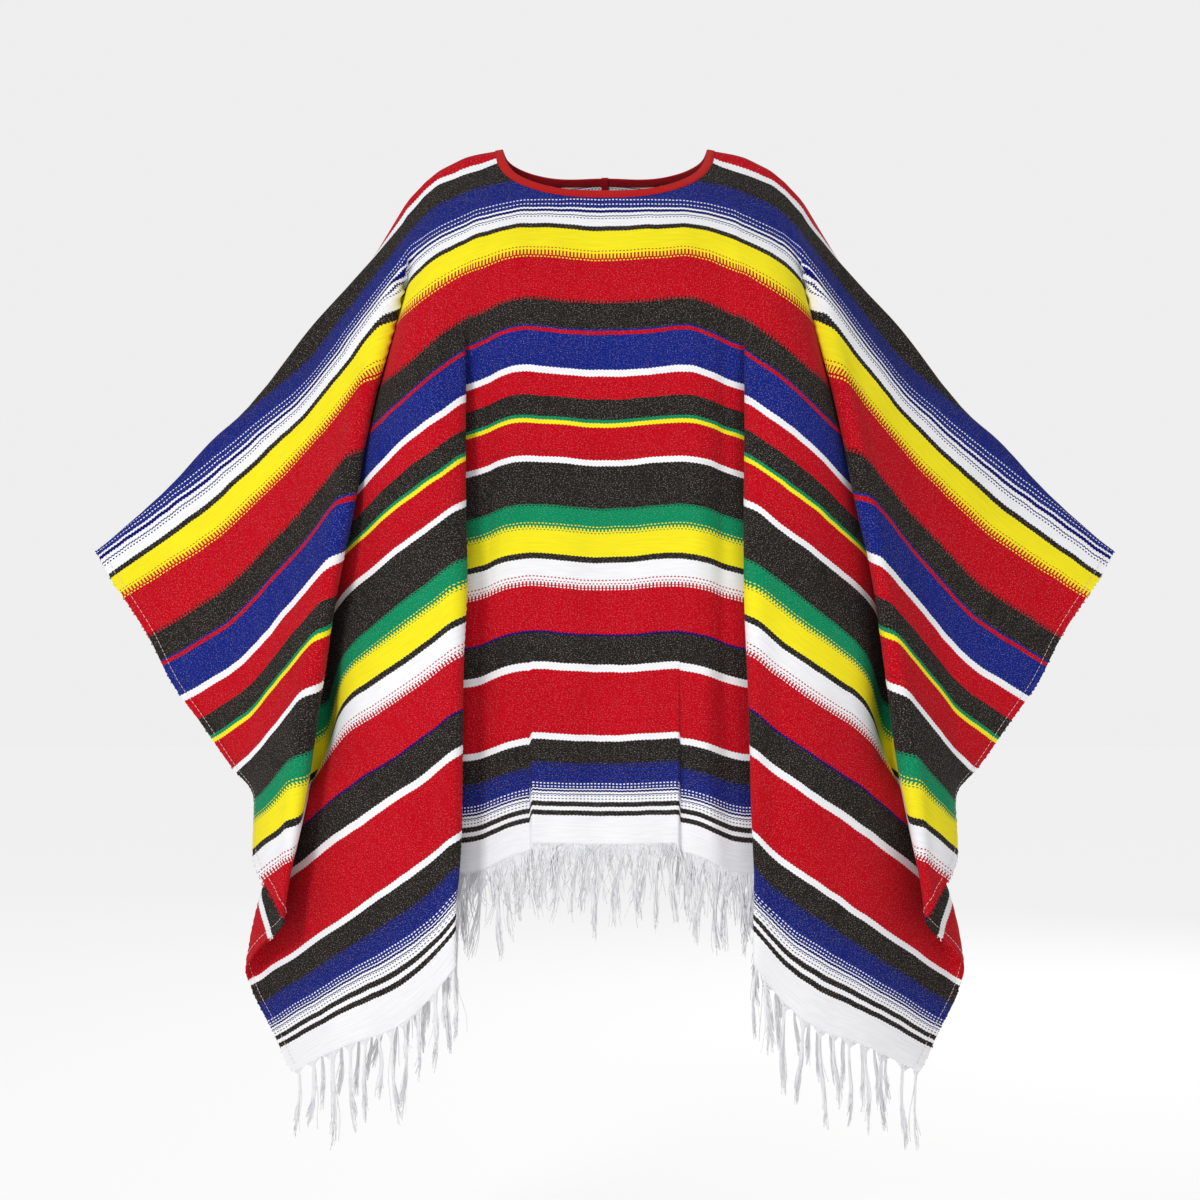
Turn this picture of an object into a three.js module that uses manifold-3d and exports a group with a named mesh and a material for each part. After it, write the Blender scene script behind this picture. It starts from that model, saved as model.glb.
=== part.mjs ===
// Mexican poncho: one striped woven cloth with a bound neck hole, worn over a general figure with its arms
// out and down. Millimetres. X is across, -Y is the front, +Z is up. The origin is at the middle of the neck,
// on the line of the shoulders.
import * as THREE from "three";
import { mergeVertices } from "three/addons/utils/BufferGeometryUtils.js";
import Module from "manifold-3d";

const wasm = await Module();
wasm.setup();

// Cut of the cloth
const HALF_WIDTH = 850;
const HALF_LENGTH = 862;
const WALL = 1.8;
const SIDE_HEM_WIDTH = 10;
const SIDE_HEM_WALL = 3;
const SEAM_GAP = 0.3;
const HEM_GAP = 1;

// Neck hole, a rounded oval in the flat cloth
const NECK_HALF_WIDTH = 129;
const NECK_DEPTH = 75;
const NECK_POWER = 2.4;
const NECK_RISE_AT_BACK = 33;

// Neck binding, a tape folded over the raw edge
const BINDING_WIDTH = 8.5;
const BINDING_TAPE = 1;
const TAPE_CLEARANCE = 0.45;
const BINDING_STATIONS = 48;
const LAP_WIDTH = 9;
const LAP_TAIL = 15;

// Shoulder line and arms
const SHIFT_START = 225;
const SHIFT_AT_EDGE = 84;
const SHIFT_POWER = 1.15;

// Folds: the radius of a pleat's bends, how far the cloth rolls out beside them, and the softening elsewhere
const FOLD_ROLL = 9;
const LEAST_ROLL = 0.2;
const ROLL_SHARE_OF_ROOM = 0.25;
const ROLL_ARC = 1.57;
const ROLL_REACH = 1.1;
const SOFTNESS = 26;
const LEAST_SOFTNESS = 5;
const SOFTNESS_SHARE = 0.45;
const SMOOTHING_STEPS = 4;

// Fringe
const STRIP_DEPTH = 4;
const STRAND_WIDTH = 4.5;
const STRAND_LENGTH = 84;
const STRAND_TIP_SHARE = 0.4;
const STRAND_LENGTH_VARIES = 0.16;
const STRAND_SWAY_X = 5;
const STRAND_SWAY_Y = 2.5;
const CENTRE_STRANDS = 24;
const CENTRE_HALF_WIDTH = 160;
const SIDE_STRANDS = 19;

// The ridge over shoulder and arm: s is measured along the cloth's middle line
const RIDGE = [
  { s: 0, x: 0, z: 4 },
  { s: 131, x: 131, z: 2 },
  { s: 177, x: 175, z: -10 },
  { s: 226, x: 219, z: -32 },
  { s: 261, x: 241, z: -57 },
  { s: 297, x: 262, z: -87 },
  { s: 339, x: 287, z: -121 },
  { s: 393, x: 317, z: -166 },
  { s: 545, x: 420, z: -277 },
  { s: 642, x: 483, z: -353 },
  { s: 850, x: 637, z: -500 },
];

// Guide lines that run down the front of one half, from the ridge to the hem. Each row is
// [t, s, x, y, z]: t down the cloth and s across it, both flat, then where that point hangs.
// A "hidden" line is the back bend of a pleat and a "crest" its front bend.
const guide = (name, kind, ...rows) => ({
  name,
  kind,
  rows: rows.map(([t, s, x, y, z]) => ({ t, s, x, y, z })),
});
const GUIDES = [
  guide("centre", "soft",
    [75, 0, 0, -60, -60], [123, 0, 0, -92, -113], [208, 0, 0, -118, -202], [398, 0, 0, -132, -395],
    [724, 0, 0, -134, -724], [862, 0, 0, -135, -855]),
  guide("middle", "soft",
    [45, 112, 110, -38, -36], [123, 112, 111, -93, -107], [208, 112, 111, -121, -194],
    [398, 112, 111, -137, -386], [724, 112, 111, -139, -718], [862, 112, 111, -140, -852]),
  guide("flank", "soft",
    [20, 162, 159, -17, -29], [53, 162, 158, -42, -53], [123, 162, 158, -97, -123], [208, 162, 158, -120, -218],
    [398, 162, 158, -127, -407], [862, 162, 158, -132, -889]),
  guide("panel_hidden", "hidden",
    [20, 177, 174, -17, -33], [53, 177, 171, -42, -58], [123, 177, 168, -96, -128], [208, 177, 166, -122, -218],
    [290, 202, 190, -118, -301], [398, 234, 212, -112, -411], [519, 270, 248, -108, -535],
    [724, 332, 302, -102, -745], [862, 373, 338, -98, -892]),
  guide("panel_crest", "crest",
    [20, 177, 174, -17, -33], [53, 177, 171, -42, -58], [123, 177, 168, -96, -128], [208, 177, 166, -122, -218],
    [290, 229, 166, -142, -315], [398, 299, 167, -155, -441], [519, 376, 170, -165, -587],
    [724, 507, 174, -175, -833], [862, 596, 178, -180, -988]),
  guide("side_inner", "soft",
    [20, 222, 216, -16, -49], [53, 222, 214, -42, -77], [123, 222, 209, -93, -147], [208, 227, 210, -140, -251],
    [290, 279, 209, -162, -345], [398, 349, 209, -165, -471], [519, 426, 209, -168, -616],
    [724, 554, 209, -175, -866], [862, 640, 214, -178, -1042]),
  guide("side_middle", "soft",
    [20, 257, 238, -17, -76], [53, 257, 233, -42, -98], [86, 257, 227, -66, -120], [123, 258, 236, -88, -170],
    [160, 262, 243, -108, -216], [208, 272, 246, -138, -286], [290, 325, 245, -150, -370],
    [398, 394, 245, -155, -495], [519, 471, 245, -160, -642], [724, 602, 245, -170, -890],
    [862, 690, 250, -172, -1072]),
  guide("side_outer", "soft",
    [20, 268, 246, -17, -84], [53, 268, 241, -42, -105], [86, 268, 233, -67, -124], [123, 282, 243, -70, -180],
    [160, 291, 252, -85, -222], [208, 307, 265, -112, -293], [290, 408, 297, -112, -423],
    [398, 501, 320, -105, -552], [454, 526, 316, -125, -621], [512, 558, 316, -125, -679],
    [605, 616, 316, -130, -791], [724, 695, 317, -140, -943], [862, 775, 314, -150, -1095]),
  guide("sleeve_hidden", "hidden",
    [20, 277, 250, -17, -92], [53, 277, 246, -42, -113], [86, 277, 238, -68, -128], [123, 306, 255, -56, -190],
    [208, 395, 300, -40, -320], [290, 467, 332, -66, -438], [398, 562, 352, -70, -588],
    [454, 611, 350, -66, -690], [512, 662, 355, -66, -770], [605, 744, 405, -60, -872],
    [649, 783, 422, -57, -925], [724, 849, 440, -55, -1027], [862, 971, 486, -72, -1186]),
  guide("sleeve_crest", "crest",
    [20, 277, 250, -17, -92], [53, 277, 246, -42, -113], [86, 277, 238, -68, -128], [123, 383, 263, -86, -223],
    [160, 440, 280, -107, -293], [208, 497, 297, -128, -380], [290, 571, 319, -150, -506],
    [398, 668, 346, -150, -663], [512, 770, 371, -150, -822], [605, 854, 388, -148, -945],
    [724, 961, 415, -148, -1095], [862, 1085, 460, -150, -1250]),
  guide("sleeve_inner", "soft",
    [53, 492, 370, -10, -265], [88, 510, 370, -40, -297], [123, 539, 369, -62, -340],
    [160, 577, 371, -75, -389], [208, 615, 381, -88, -464], [290, 664, 390, -100, -573],
    [398, 729, 391, -122, -703], [512, 797, 392, -130, -836], [605, 874, 405, -140, -955],
    [862, 1105, 477, -140, -1262]),
  guide("sleeve_outer", "soft",
    [88, 676, 492, -20, -394], [123, 696, 484, -38, -445], [160, 713, 469, -48, -482], [208, 732, 463, -58, -545],
    [290, 757, 447, -66, -636], [398, 789, 427, -85, -745], [512, 823, 415, -112, -852],
    [605, 894, 421, -130, -966], [862, 1125, 494, -130, -1274]),
  guide("sleeve_edge", "soft",
    [123, 850, 615, -12, -535], [160, 850, 597, -20, -560], [208, 850, 567, -25, -607],
    [290, 850, 526, -30, -680], [398, 850, 457, -52, -769], [454, 850, 432, -62, -806],
    [512, 850, 428, -86, -866], [605, 914, 437, -118, -978], [862, 1145, 511, -120, -1286]),
];

// Where each guide line that starts on the ridge begins, by its s there
const RIDGE_START = {
  centre: 0, middle: 112, flank: 162, panel_hidden: 177, panel_crest: 177, side_inner: 222, side_middle: 257,
  side_outer: 268, sleeve_hidden: 277, sleeve_crest: 277, sleeve_inner: 468, sleeve_outer: 659,
  sleeve_edge: 850,
};

const mix = (a, b, f) => a + (b - a) * f;
const clamp = (value, low, high) => Math.min(high, Math.max(low, value));
const smoothstep = (low, high, value) => {
  const f = clamp((value - low) / (high - low), 0, 1);
  return f * f * (3 - 2 * f);
};

function ridgePoint(s) {
  let i = 1;
  while (i < RIDGE.length - 1 && RIDGE[i].s < s) i += 1;
  const a = RIDGE[i - 1];
  const b = RIDGE[i];
  const f = (s - a.s) / (b.s - a.s);
  return { x: mix(a.x, b.x, f), y: 0, z: mix(a.z, b.z, f) };
}

// How far the cloth has slid back over the arm, so that its middle line lies behind the ridge
function ridgeShift(s) {
  const along = clamp((s - SHIFT_START) / (HALF_WIDTH - SHIFT_START), 0, 1);
  return SHIFT_AT_EDGE * along ** SHIFT_POWER;
}

// The back hangs as the front does, a little higher at the neck, with its pleats in other places
const BACK_PLEAT_SHIFT = 16;
const BACK_WIDTH_SHARE = 0.985;
const BACK_DEPTH_SHARE = 0.94;
const NECK_RISE_FADES = { from: 70, to: 230 };
const PLEAT_SHIFT_COMES = { from: 120, to: 165 };
const PLEAT_SHIFT_GOES = { from: 250, to: 330 };
const PLEAT_SHIFT_DOWN = { from: 208, to: 400 };
const ramp = ({ from, to }, value) => smoothstep(from, to, value);
function backRow(row, start) {
  const shift = ridgeShift(start);
  const stretch = (HALF_LENGTH + shift) / (HALF_LENGTH - shift);
  const t = shift - (row.t - shift) * stretch;
  const nearNeck = (1 - ramp(NECK_RISE_FADES, row.x)) * smoothstep(0, NECK_DEPTH, row.t);
  const beside = ramp(PLEAT_SHIFT_COMES, row.x) * (1 - ramp(PLEAT_SHIFT_GOES, row.x));
  const nearPleat = beside * ramp(PLEAT_SHIFT_DOWN, row.t);
  return {
    t,
    s: row.s,
    x: (row.x + BACK_PLEAT_SHIFT * nearPleat) * BACK_WIDTH_SHARE,
    y: -row.y * BACK_DEPTH_SHARE,
    z: row.z + NECK_RISE_AT_BACK * nearNeck,
  };
}

function fullGuide(line) {
  const start = RIDGE_START[line.name];
  const top = { t: ridgeShift(start), s: start, ...ridgePoint(start) };
  const back = line.rows.map((row) => backRow(row, start)).reverse();
  return { ...line, rows: [...back, top, ...line.rows] };
}
const LINES = GUIDES.map(fullGuide);
const KEYS = ["s", "x", "y", "z"];

// A guide line's slope at a row, held back beside a flat stretch and level where the line turns round
const STEEPEST = 2.5;
function slopeAt(rows, i, key) {
  const here = rows[i];
  const before = rows[Math.max(i - 1, 0)];
  const after = rows[Math.min(i + 1, rows.length - 1)];
  const middle = (after[key] - before[key]) / (after.t - before.t);
  if (before === here || after === here) return middle;
  const above = (here[key] - before[key]) / (here.t - before.t);
  const below = (after[key] - here[key]) / (after.t - here.t);
  if (above * below <= 0) return 0;
  const most = STEEPEST * Math.min(Math.abs(above), Math.abs(below));
  return clamp(middle, -most, most);
}

// A smooth curve through a guide line's rows, straight on past its ends
function onLine(line, t) {
  const rows = line.rows;
  const last = rows.length - 1;
  let i = 1;
  while (i < last && rows[i].t < t) i += 1;
  const a = rows[i - 1];
  const b = rows[i];
  const span = b.t - a.t;
  const f = (t - a.t) / span;
  const result = {};
  for (const key of KEYS) {
    const slopeA = slopeAt(rows, i - 1, key);
    const slopeB = slopeAt(rows, i, key);
    if (f < 0 || f > 1) {
      result[key] = f < 0 ? a[key] + slopeA * (t - a.t) : b[key] + slopeB * (t - b.t);
    } else {
      const f2 = f * f;
      const f3 = f2 * f;
      result[key] = (2 * f3 - 3 * f2 + 1) * a[key] + (f3 - 2 * f2 + f) * span * slopeA
        + (3 * f2 - 2 * f3) * b[key] + (f3 - f2) * span * slopeB;
    }
  }
  return result;
}

const vector = (p) => new THREE.Vector3(p.x, p.y, p.z);

// One thread across the cloth at t: the guide points, with a rolled bend at each pleat's two bends
const sections = new Map();
function section(t) {
  const key = Math.round(t * 1000);
  if (sections.has(key)) return sections.get(key);
  const points = LINES.map((line) => {
    const p = onLine(line, t);
    return { s: p.s, p: vector(p), kind: line.kind };
  });
  const result = [];
  points.forEach((point, i) => {
    const isFold = point.kind === "crest" || point.kind === "hidden";
    const room = isFold ? Math.min(point.s - points[i - 1].s, points[i + 1].s - point.s) : 0;
    const roll = Math.min(FOLD_ROLL, ROLL_SHARE_OF_ROOM * room);
    if (roll < LEAST_ROLL) {
      result.push({ s: point.s, p: point.p, fold: isFold });
      return;
    }
    const along = vector(onLine(LINES[i], t + 1)).sub(vector(onLine(LINES[i], t - 1))).normalize();
    const inward = points[i - 1].p.clone().sub(point.p).normalize();
    const outward = points[i + 1].p.clone().sub(point.p).normalize();
    const apart = inward.clone().sub(outward);
    apart.addScaledVector(along, -apart.dot(along)).normalize();
    result.push({
      s: point.s - ROLL_ARC * roll,
      p: point.p.clone().addScaledVector(inward, ROLL_REACH * roll).addScaledVector(apart, roll),
    });
    result.push({ s: point.s, p: point.p, fold: true });
    result.push({
      s: point.s + ROLL_ARC * roll,
      p: point.p.clone().addScaledVector(outward, ROLL_REACH * roll).addScaledVector(apart, -roll),
    });
  });
  sections.set(key, result);
  return result;
}

function onSection(points, s) {
  const side = Math.sign(s) || 1;
  const target = Math.abs(s);
  let i = 1;
  while (i < points.length - 1 && points[i].s < target) i += 1;
  const a = points[i - 1];
  const b = points[i];
  const f = (target - a.s) / Math.max(b.s - a.s, 1e-6);
  const p = a.p.clone().lerp(b.p, f);
  p.x *= side;
  return p;
}

// The cloth's middle surface: softened by averaging along the thread, less so near a bend
function clothPoint(s, t) {
  const points = section(t);
  const nearest = Math.min(...points.filter((q) => q.fold).map((q) => Math.abs(q.s - Math.abs(s))));
  const reach = clamp(SOFTNESS_SHARE * nearest, LEAST_SOFTNESS, SOFTNESS);
  const sum = new THREE.Vector3();
  for (let k = -SMOOTHING_STEPS; k <= SMOOTHING_STEPS; k += 1) {
    sum.add(onSection(points, s + (reach * k) / SMOOTHING_STEPS));
  }
  return sum.divideScalar(2 * SMOOTHING_STEPS + 1);
}

// Outward normal: to the front on the front, up on the shoulders, to the back on the back
function clothNormal(s, t) {
  const step = 2;
  const across = clothPoint(s + step, t).sub(clothPoint(s - step, t));
  const down = clothPoint(s, t + step).sub(clothPoint(s, t - step));
  return down.cross(across).normalize();
}

const neckEdge = (s, grow) => {
  const share = Math.abs(s) / (NECK_HALF_WIDTH - grow);
  return share >= 1 ? 0 : (NECK_DEPTH - grow) * (1 - share ** NECK_POWER) ** (1 / NECK_POWER);
};

// Columns of the cloth's grid at t, for one half: fixed ones near the neck, then ones that follow the folds
const FIXED_COLUMNS = [0, 30, 58, 82, 102, 117, 126, 129];
const COLUMN_GAP = 5;
const BEND_COLUMN_REACH = 12;
const BEND_REACH_SHARE = 0.4;
const EDGE_SHARES = [0.3, 0.55, 0.8];
function columnsAt(t) {
  const at = Object.fromEntries(LINES.map((line) => [line.name, onLine(line, t).s]));
  const bend = (s, reach) => [s - reach, s, s + reach];
  const panelRoll = Math.min(BEND_COLUMN_REACH, BEND_REACH_SHARE * (at.panel_crest - at.panel_hidden));
  const sleeveRoll = Math.min(BEND_COLUMN_REACH, BEND_REACH_SHARE * (at.sleeve_crest - at.sleeve_hidden));
  const edge = Math.max(HALF_WIDTH, at.sleeve_crest);
  const raw = [
    ...FIXED_COLUMNS,
    at.flank,
    ...bend(at.panel_hidden, panelRoll),
    0.5 * (at.panel_hidden + at.panel_crest),
    ...bend(at.panel_crest, panelRoll),
    at.side_inner,
    at.side_middle,
    at.side_outer,
    ...bend(at.sleeve_hidden, sleeveRoll),
    0.5 * (at.sleeve_hidden + at.sleeve_crest),
    ...bend(at.sleeve_crest, sleeveRoll),
    ...EDGE_SHARES.map((share) => mix(at.sleeve_crest, edge, share)),
    HALF_WIDTH - SIDE_HEM_WIDTH,
    HALF_WIDTH,
  ];
  for (let i = 1; i < raw.length; i += 1) raw[i] = Math.max(raw[i], raw[i - 1] + COLUMN_GAP);
  raw[raw.length - 1] = HALF_WIDTH;
  raw[raw.length - 2] = Math.min(raw[raw.length - 2], HALF_WIDTH - SIDE_HEM_WIDTH);
  for (let i = raw.length - 2; i >= 0; i -= 1) raw[i] = Math.min(raw[i], raw[i + 1] - COLUMN_GAP);
  return raw;
}

// Rows of the grid, as |t|. The first few reach up to the neck or to the shoulder line, and their columns
// are taken from rows no higher than the one named.
const UPPER_SHARES = [0, 0.1, 0.22, 0.42, 0.7];
const TOP_COLUMN_ROW = 40;
const LOWER_ROWS = [123, 160, 208, 249, 290, 344, 398, 454, 512, 560, 605, 649, 687, 724, 793, 862];

function panelGrid(side, grow = 0) {
  const grid = [];
  const topT = 0.5 * SEAM_GAP - grow;
  const columnCount = columnsAt(LOWER_ROWS[0]).length;
  const levels = [...UPPER_SHARES.map((share) => share - 1), ...LOWER_ROWS];
  for (const level of levels) {
    const guideT = level < 0 ? mix(LOWER_ROWS[0], TOP_COLUMN_ROW, -level) : level;
    const half = columnsAt(side * guideT);
    const row = [];
    for (let j = -(columnCount - 1); j < columnCount; j += 1) {
      const s = Math.sign(j) * half[Math.abs(j)];
      const top = Math.max(topT, neckEdge(s, grow));
      const t = level < 0 ? mix(LOWER_ROWS[0], top, -level) : level;
      row.push({ s, t: side * t });
    }
    grid.push(row);
  }
  return grid;
}

const wallAt = (s) => (Math.abs(s) > HALF_WIDTH - 0.6 * SIDE_HEM_WIDTH ? SIDE_HEM_WALL : WALL);

// A closed wall round a grid of cloth places
function wallGeometry(grid, side, grow = 0) {
  const rows = grid.length;
  const columns = grid[0].length;
  const positions = [];
  for (const face of [1, -1]) {
    for (const row of grid) {
      for (const { s, t } of row) {
        const p = clothPoint(s, t).addScaledVector(clothNormal(s, t), face * (0.5 * wallAt(s) + grow));
        positions.push(p.x, p.y, p.z);
      }
    }
  }
  const outer = (i, j) => i * columns + j;
  const inner = (i, j) => rows * columns + i * columns + j;
  const faces = [];
  const quad = (a, b, c, d) => {
    if (side > 0) faces.push(a, b, c, a, c, d);
    else faces.push(a, c, b, a, d, c);
  };
  for (let i = 0; i < rows - 1; i += 1) {
    for (let j = 0; j < columns - 1; j += 1) {
      quad(outer(i, j), outer(i + 1, j), outer(i + 1, j + 1), outer(i, j + 1));
      quad(inner(i, j), inner(i, j + 1), inner(i + 1, j + 1), inner(i + 1, j));
    }
  }
  for (let j = 0; j < columns - 1; j += 1) {
    quad(outer(0, j), outer(0, j + 1), inner(0, j + 1), inner(0, j));
    quad(outer(rows - 1, j), inner(rows - 1, j), inner(rows - 1, j + 1), outer(rows - 1, j + 1));
  }
  for (let i = 0; i < rows - 1; i += 1) {
    quad(outer(i, 0), inner(i, 0), inner(i + 1, 0), outer(i + 1, 0));
    quad(outer(i, columns - 1), outer(i + 1, columns - 1), inner(i + 1, columns - 1), inner(i, columns - 1));
  }
  return indexed(positions, faces);
}

function indexed(positions, faces) {
  const geometry = new THREE.BufferGeometry();
  geometry.setAttribute("position", new THREE.Float32BufferAttribute(positions, 3));
  geometry.setIndex(faces);
  return geometry;
}

// A place on the neck hole's edge at an angle, and the flat direction away from the hole there
function neckStation(angle) {
  const power = 2 / NECK_POWER;
  const cos = Math.cos(angle);
  const sin = Math.sin(angle);
  const s = NECK_HALF_WIDTH * Math.sign(cos) * Math.abs(cos) ** power;
  const t = NECK_DEPTH * Math.sign(sin) * Math.abs(sin) ** power;
  const away = new THREE.Vector2(
    Math.sign(cos) * Math.abs(s / NECK_HALF_WIDTH) ** (NECK_POWER - 1) / NECK_HALF_WIDTH,
    Math.sign(sin) * Math.abs(t / NECK_DEPTH) ** (NECK_POWER - 1) / NECK_DEPTH,
  ).normalize();
  return { s, t, away };
}

const bindingStations = () => Array.from(
  { length: BINDING_STATIONS },
  (_, i) => neckStation((2 * Math.PI * (i + 0.5)) / BINDING_STATIONS),
);

// A thick ring over the neck's edge, reaching a distance down the inner and the outer face of the cloth
function ringOverEdge(thickness, inside, outside) {
  const bevel = 0.6 * thickness;
  const profile = [
    [BINDING_WIDTH, -thickness], [-SEAM_GAP, -thickness], [-thickness, -thickness + bevel],
    [-thickness, thickness - bevel], [-SEAM_GAP, thickness], [BINDING_WIDTH, thickness],
  ];
  if (outside > BINDING_WIDTH) profile.push([outside, thickness]);
  if (inside > BINDING_WIDTH) profile.push([inside, -thickness]);
  const size = profile.length;
  const stations = bindingStations();
  const positions = [];
  const faces = [];
  stations.forEach((station, i) => {
    const next = (i + 1) % stations.length;
    profile.forEach(([away, height], k) => {
      const s = station.s + away * station.away.x;
      const t = station.t + away * station.away.y;
      const p = clothPoint(s, t).addScaledVector(clothNormal(s, t), height);
      positions.push(p.x, p.y, p.z);
      const k2 = (k + 1) % size;
      faces.push(i * size + k, next * size + k, next * size + k2);
      faces.push(i * size + k, next * size + k2, i * size + k2);
    });
  });
  return toSolid(turnedOut(indexed(positions, faces)));
}

// What is left of a solid once the cloth, and the cloth grown by the clearance, are cut from it
function clearOfCloth(solid) {
  let rest = solid;
  for (const side of [1, -1]) {
    for (const grow of [0, TAPE_CLEARANCE]) {
      rest = rest.subtract(toSolid(turnedOut(wallGeometry(panelGrid(side, grow), side, grow))));
    }
  }
  return rest.decompose().sort((a, b) => b.volume() - a.volume())[0];
}

const BINDING_THICKNESS = 0.5 * WALL + TAPE_CLEARANCE + BINDING_TAPE;

function bindingGeometry() {
  return fromSolid(clearOfCloth(ringOverEdge(BINDING_THICKNESS, BINDING_WIDTH, BINDING_WIDTH)));
}

// The end of the tape, folded over the join at the middle of the back, with a tail that hangs inside
function lapGeometry() {
  const inner = BINDING_THICKNESS + SEAM_GAP;
  const around = ringOverEdge(inner + BINDING_TAPE, LAP_TAIL, BINDING_WIDTH + 1);
  const room = ringOverEdge(inner, 2 * LAP_TAIL, 2 * LAP_TAIL);
  const slice = new THREE.BoxGeometry(LAP_WIDTH, 2 * NECK_DEPTH, 4 * NECK_DEPTH).translate(0, NECK_DEPTH, 0);
  slice.deleteAttribute("normal");
  slice.deleteAttribute("uv");
  return fromSolid(around.subtract(room).intersect(toSolid(slice)));
}

// Turns a shell the right way out, by the sign of its volume
function turnedOut(geometry) {
  const position = geometry.getAttribute("position");
  const index = geometry.getIndex().array;
  const a = new THREE.Vector3();
  const b = new THREE.Vector3();
  const c = new THREE.Vector3();
  let volume = 0;
  for (let i = 0; i < index.length; i += 3) {
    a.fromBufferAttribute(position, index[i]);
    b.fromBufferAttribute(position, index[i + 1]);
    c.fromBufferAttribute(position, index[i + 2]);
    volume += a.dot(b.cross(c));
  }
  if (volume < 0) {
    for (let i = 0; i < index.length; i += 3) [index[i + 1], index[i + 2]] = [index[i + 2], index[i + 1]];
  }
  return geometry;
}

function toSolid(geometry) {
  const merged = mergeVertices(geometry, 1e-3);
  return new wasm.Manifold(new wasm.Mesh({
    numProp: 3,
    vertProperties: Float32Array.from(merged.getAttribute("position").array),
    triVerts: Uint32Array.from(merged.getIndex().array),
  }));
}

function fromSolid(solid) {
  const mesh = solid.getMesh();
  return indexed(Array.from(mesh.vertProperties), Array.from(mesh.triVerts));
}

// The strip of knots that the fringe hangs from, a small gap below the hem
function stripGeometry(side) {
  const half = columnsAt(side * HALF_LENGTH);
  const grid = [];
  for (const t of [HALF_LENGTH + HEM_GAP, HALF_LENGTH + HEM_GAP + STRIP_DEPTH]) {
    const row = [];
    for (let j = -(half.length - 1); j < half.length; j += 1) {
      row.push({ s: Math.sign(j) * half[Math.abs(j)], t: side * t });
    }
    grid.push(row);
  }
  return wallGeometry(grid, side);
}

// One three-sided tapering strand from a root in the strip, hanging straight down with a slight sway
function strandGeometry(root, width, length, sway) {
  const levels = [
    { drop: 0, scale: 1, move: 0 },
    { drop: length, scale: STRAND_TIP_SHARE, move: 1 },
  ];
  const positions = [];
  for (const { drop, scale, move } of levels) {
    for (let k = 0; k < 3; k += 1) {
      const angle = (2 * Math.PI * k) / 3;
      positions.push(
        root.x + sway.x * move + 0.5 * width * scale * Math.cos(angle),
        root.y + sway.y * move + 0.3 * width * scale * Math.sin(angle),
        root.z - drop,
      );
    }
  }
  const faces = [0, 1, 2, 3, 5, 4];
  for (let k = 0; k < 3; k += 1) {
    const k2 = (k + 1) % 3;
    faces.push(k, 3 + k, 3 + k2, k, 3 + k2, k2);
  }
  return turnedOut(indexed(positions, faces));
}

// A root place inside the strip, on the straight stretch between two of its columns
function stripRoot(s, side) {
  const half = columnsAt(side * HALF_LENGTH);
  const across = clamp(Math.abs(s), 0, HALF_WIDTH - 3);
  let j = 1;
  while (j < half.length - 1 && half[j] < across) j += 1;
  const t = side * (HALF_LENGTH + HEM_GAP + 0.6 * STRIP_DEPTH);
  const a = clothPoint(half[j - 1], t);
  const b = clothPoint(half[j], t);
  const root = a.lerp(b, (across - half[j - 1]) / (half[j] - half[j - 1]));
  root.x *= Math.sign(s) || 1;
  return root;
}

// A repeatable unevenness between -1 and 1
const uneven = (n) => {
  const value = Math.sin(n * 12.9898) * 43758.5453;
  return 2 * (value - Math.floor(value)) - 1;
};

function fringeGeometry(side) {
  let solid = toSolid(turnedOut(stripGeometry(side)));
  const places = [];
  for (let i = 0; i < CENTRE_STRANDS; i += 1) {
    places.push(mix(-CENTRE_HALF_WIDTH, CENTRE_HALF_WIDTH, (i + 0.5) / CENTRE_STRANDS));
  }
  for (let i = 0; i < SIDE_STRANDS; i += 1) {
    const s = mix(CENTRE_HALF_WIDTH + 16, HALF_WIDTH - 6, i / (SIDE_STRANDS - 1));
    places.push(s, -s);
  }
  places.forEach((s, i) => {
    const jitter = uneven(i + 3 * side);
    const root = stripRoot(s + 3 * jitter, side);
    const length = STRAND_LENGTH * (1 + STRAND_LENGTH_VARIES * uneven(2 * i + 5));
    const sway = { x: STRAND_SWAY_X * uneven(3 * i + 1), y: STRAND_SWAY_Y * uneven(5 * i + 2) };
    solid = solid.add(toSolid(strandGeometry(root, STRAND_WIDTH, length, sway)));
  });
  return fromSolid(solid);
}

function material(color, roughness) {
  return new THREE.MeshStandardMaterial({ color, roughness, metalness: 0 });
}

function part(name, geometry, look) {
  const mesh = new THREE.Mesh(turnedOut(geometry), look);
  mesh.name = name;
  return mesh;
}

const poncho = new THREE.Group();
poncho.add(
  part("front", wallGeometry(panelGrid(1), 1), material(0xc60520, 0.9)),
  part("back", wallGeometry(panelGrid(-1), -1), material(0xc60520, 0.9)),
  part("neck_binding", bindingGeometry(), material(0xe1281e, 0.8)),
  part("binding_lap", lapGeometry(), material(0xe1281e, 0.8)),
  part("fringe_front", fringeGeometry(1), material(0xf4f4f6, 0.95)),
  part("fringe_back", fringeGeometry(-1), material(0xf4f4f6, 0.95)),
);

export default poncho;
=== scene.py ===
"""Mexican poncho: one striped woven cloth with a bound neck hole and fringed hems, hung as if worn.

Sizes are in millimetres and become metres where a mesh is made. s runs across the flat cloth from
its middle, and t runs down it from the shoulder line, with the back half negative.
"""
import math

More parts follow.
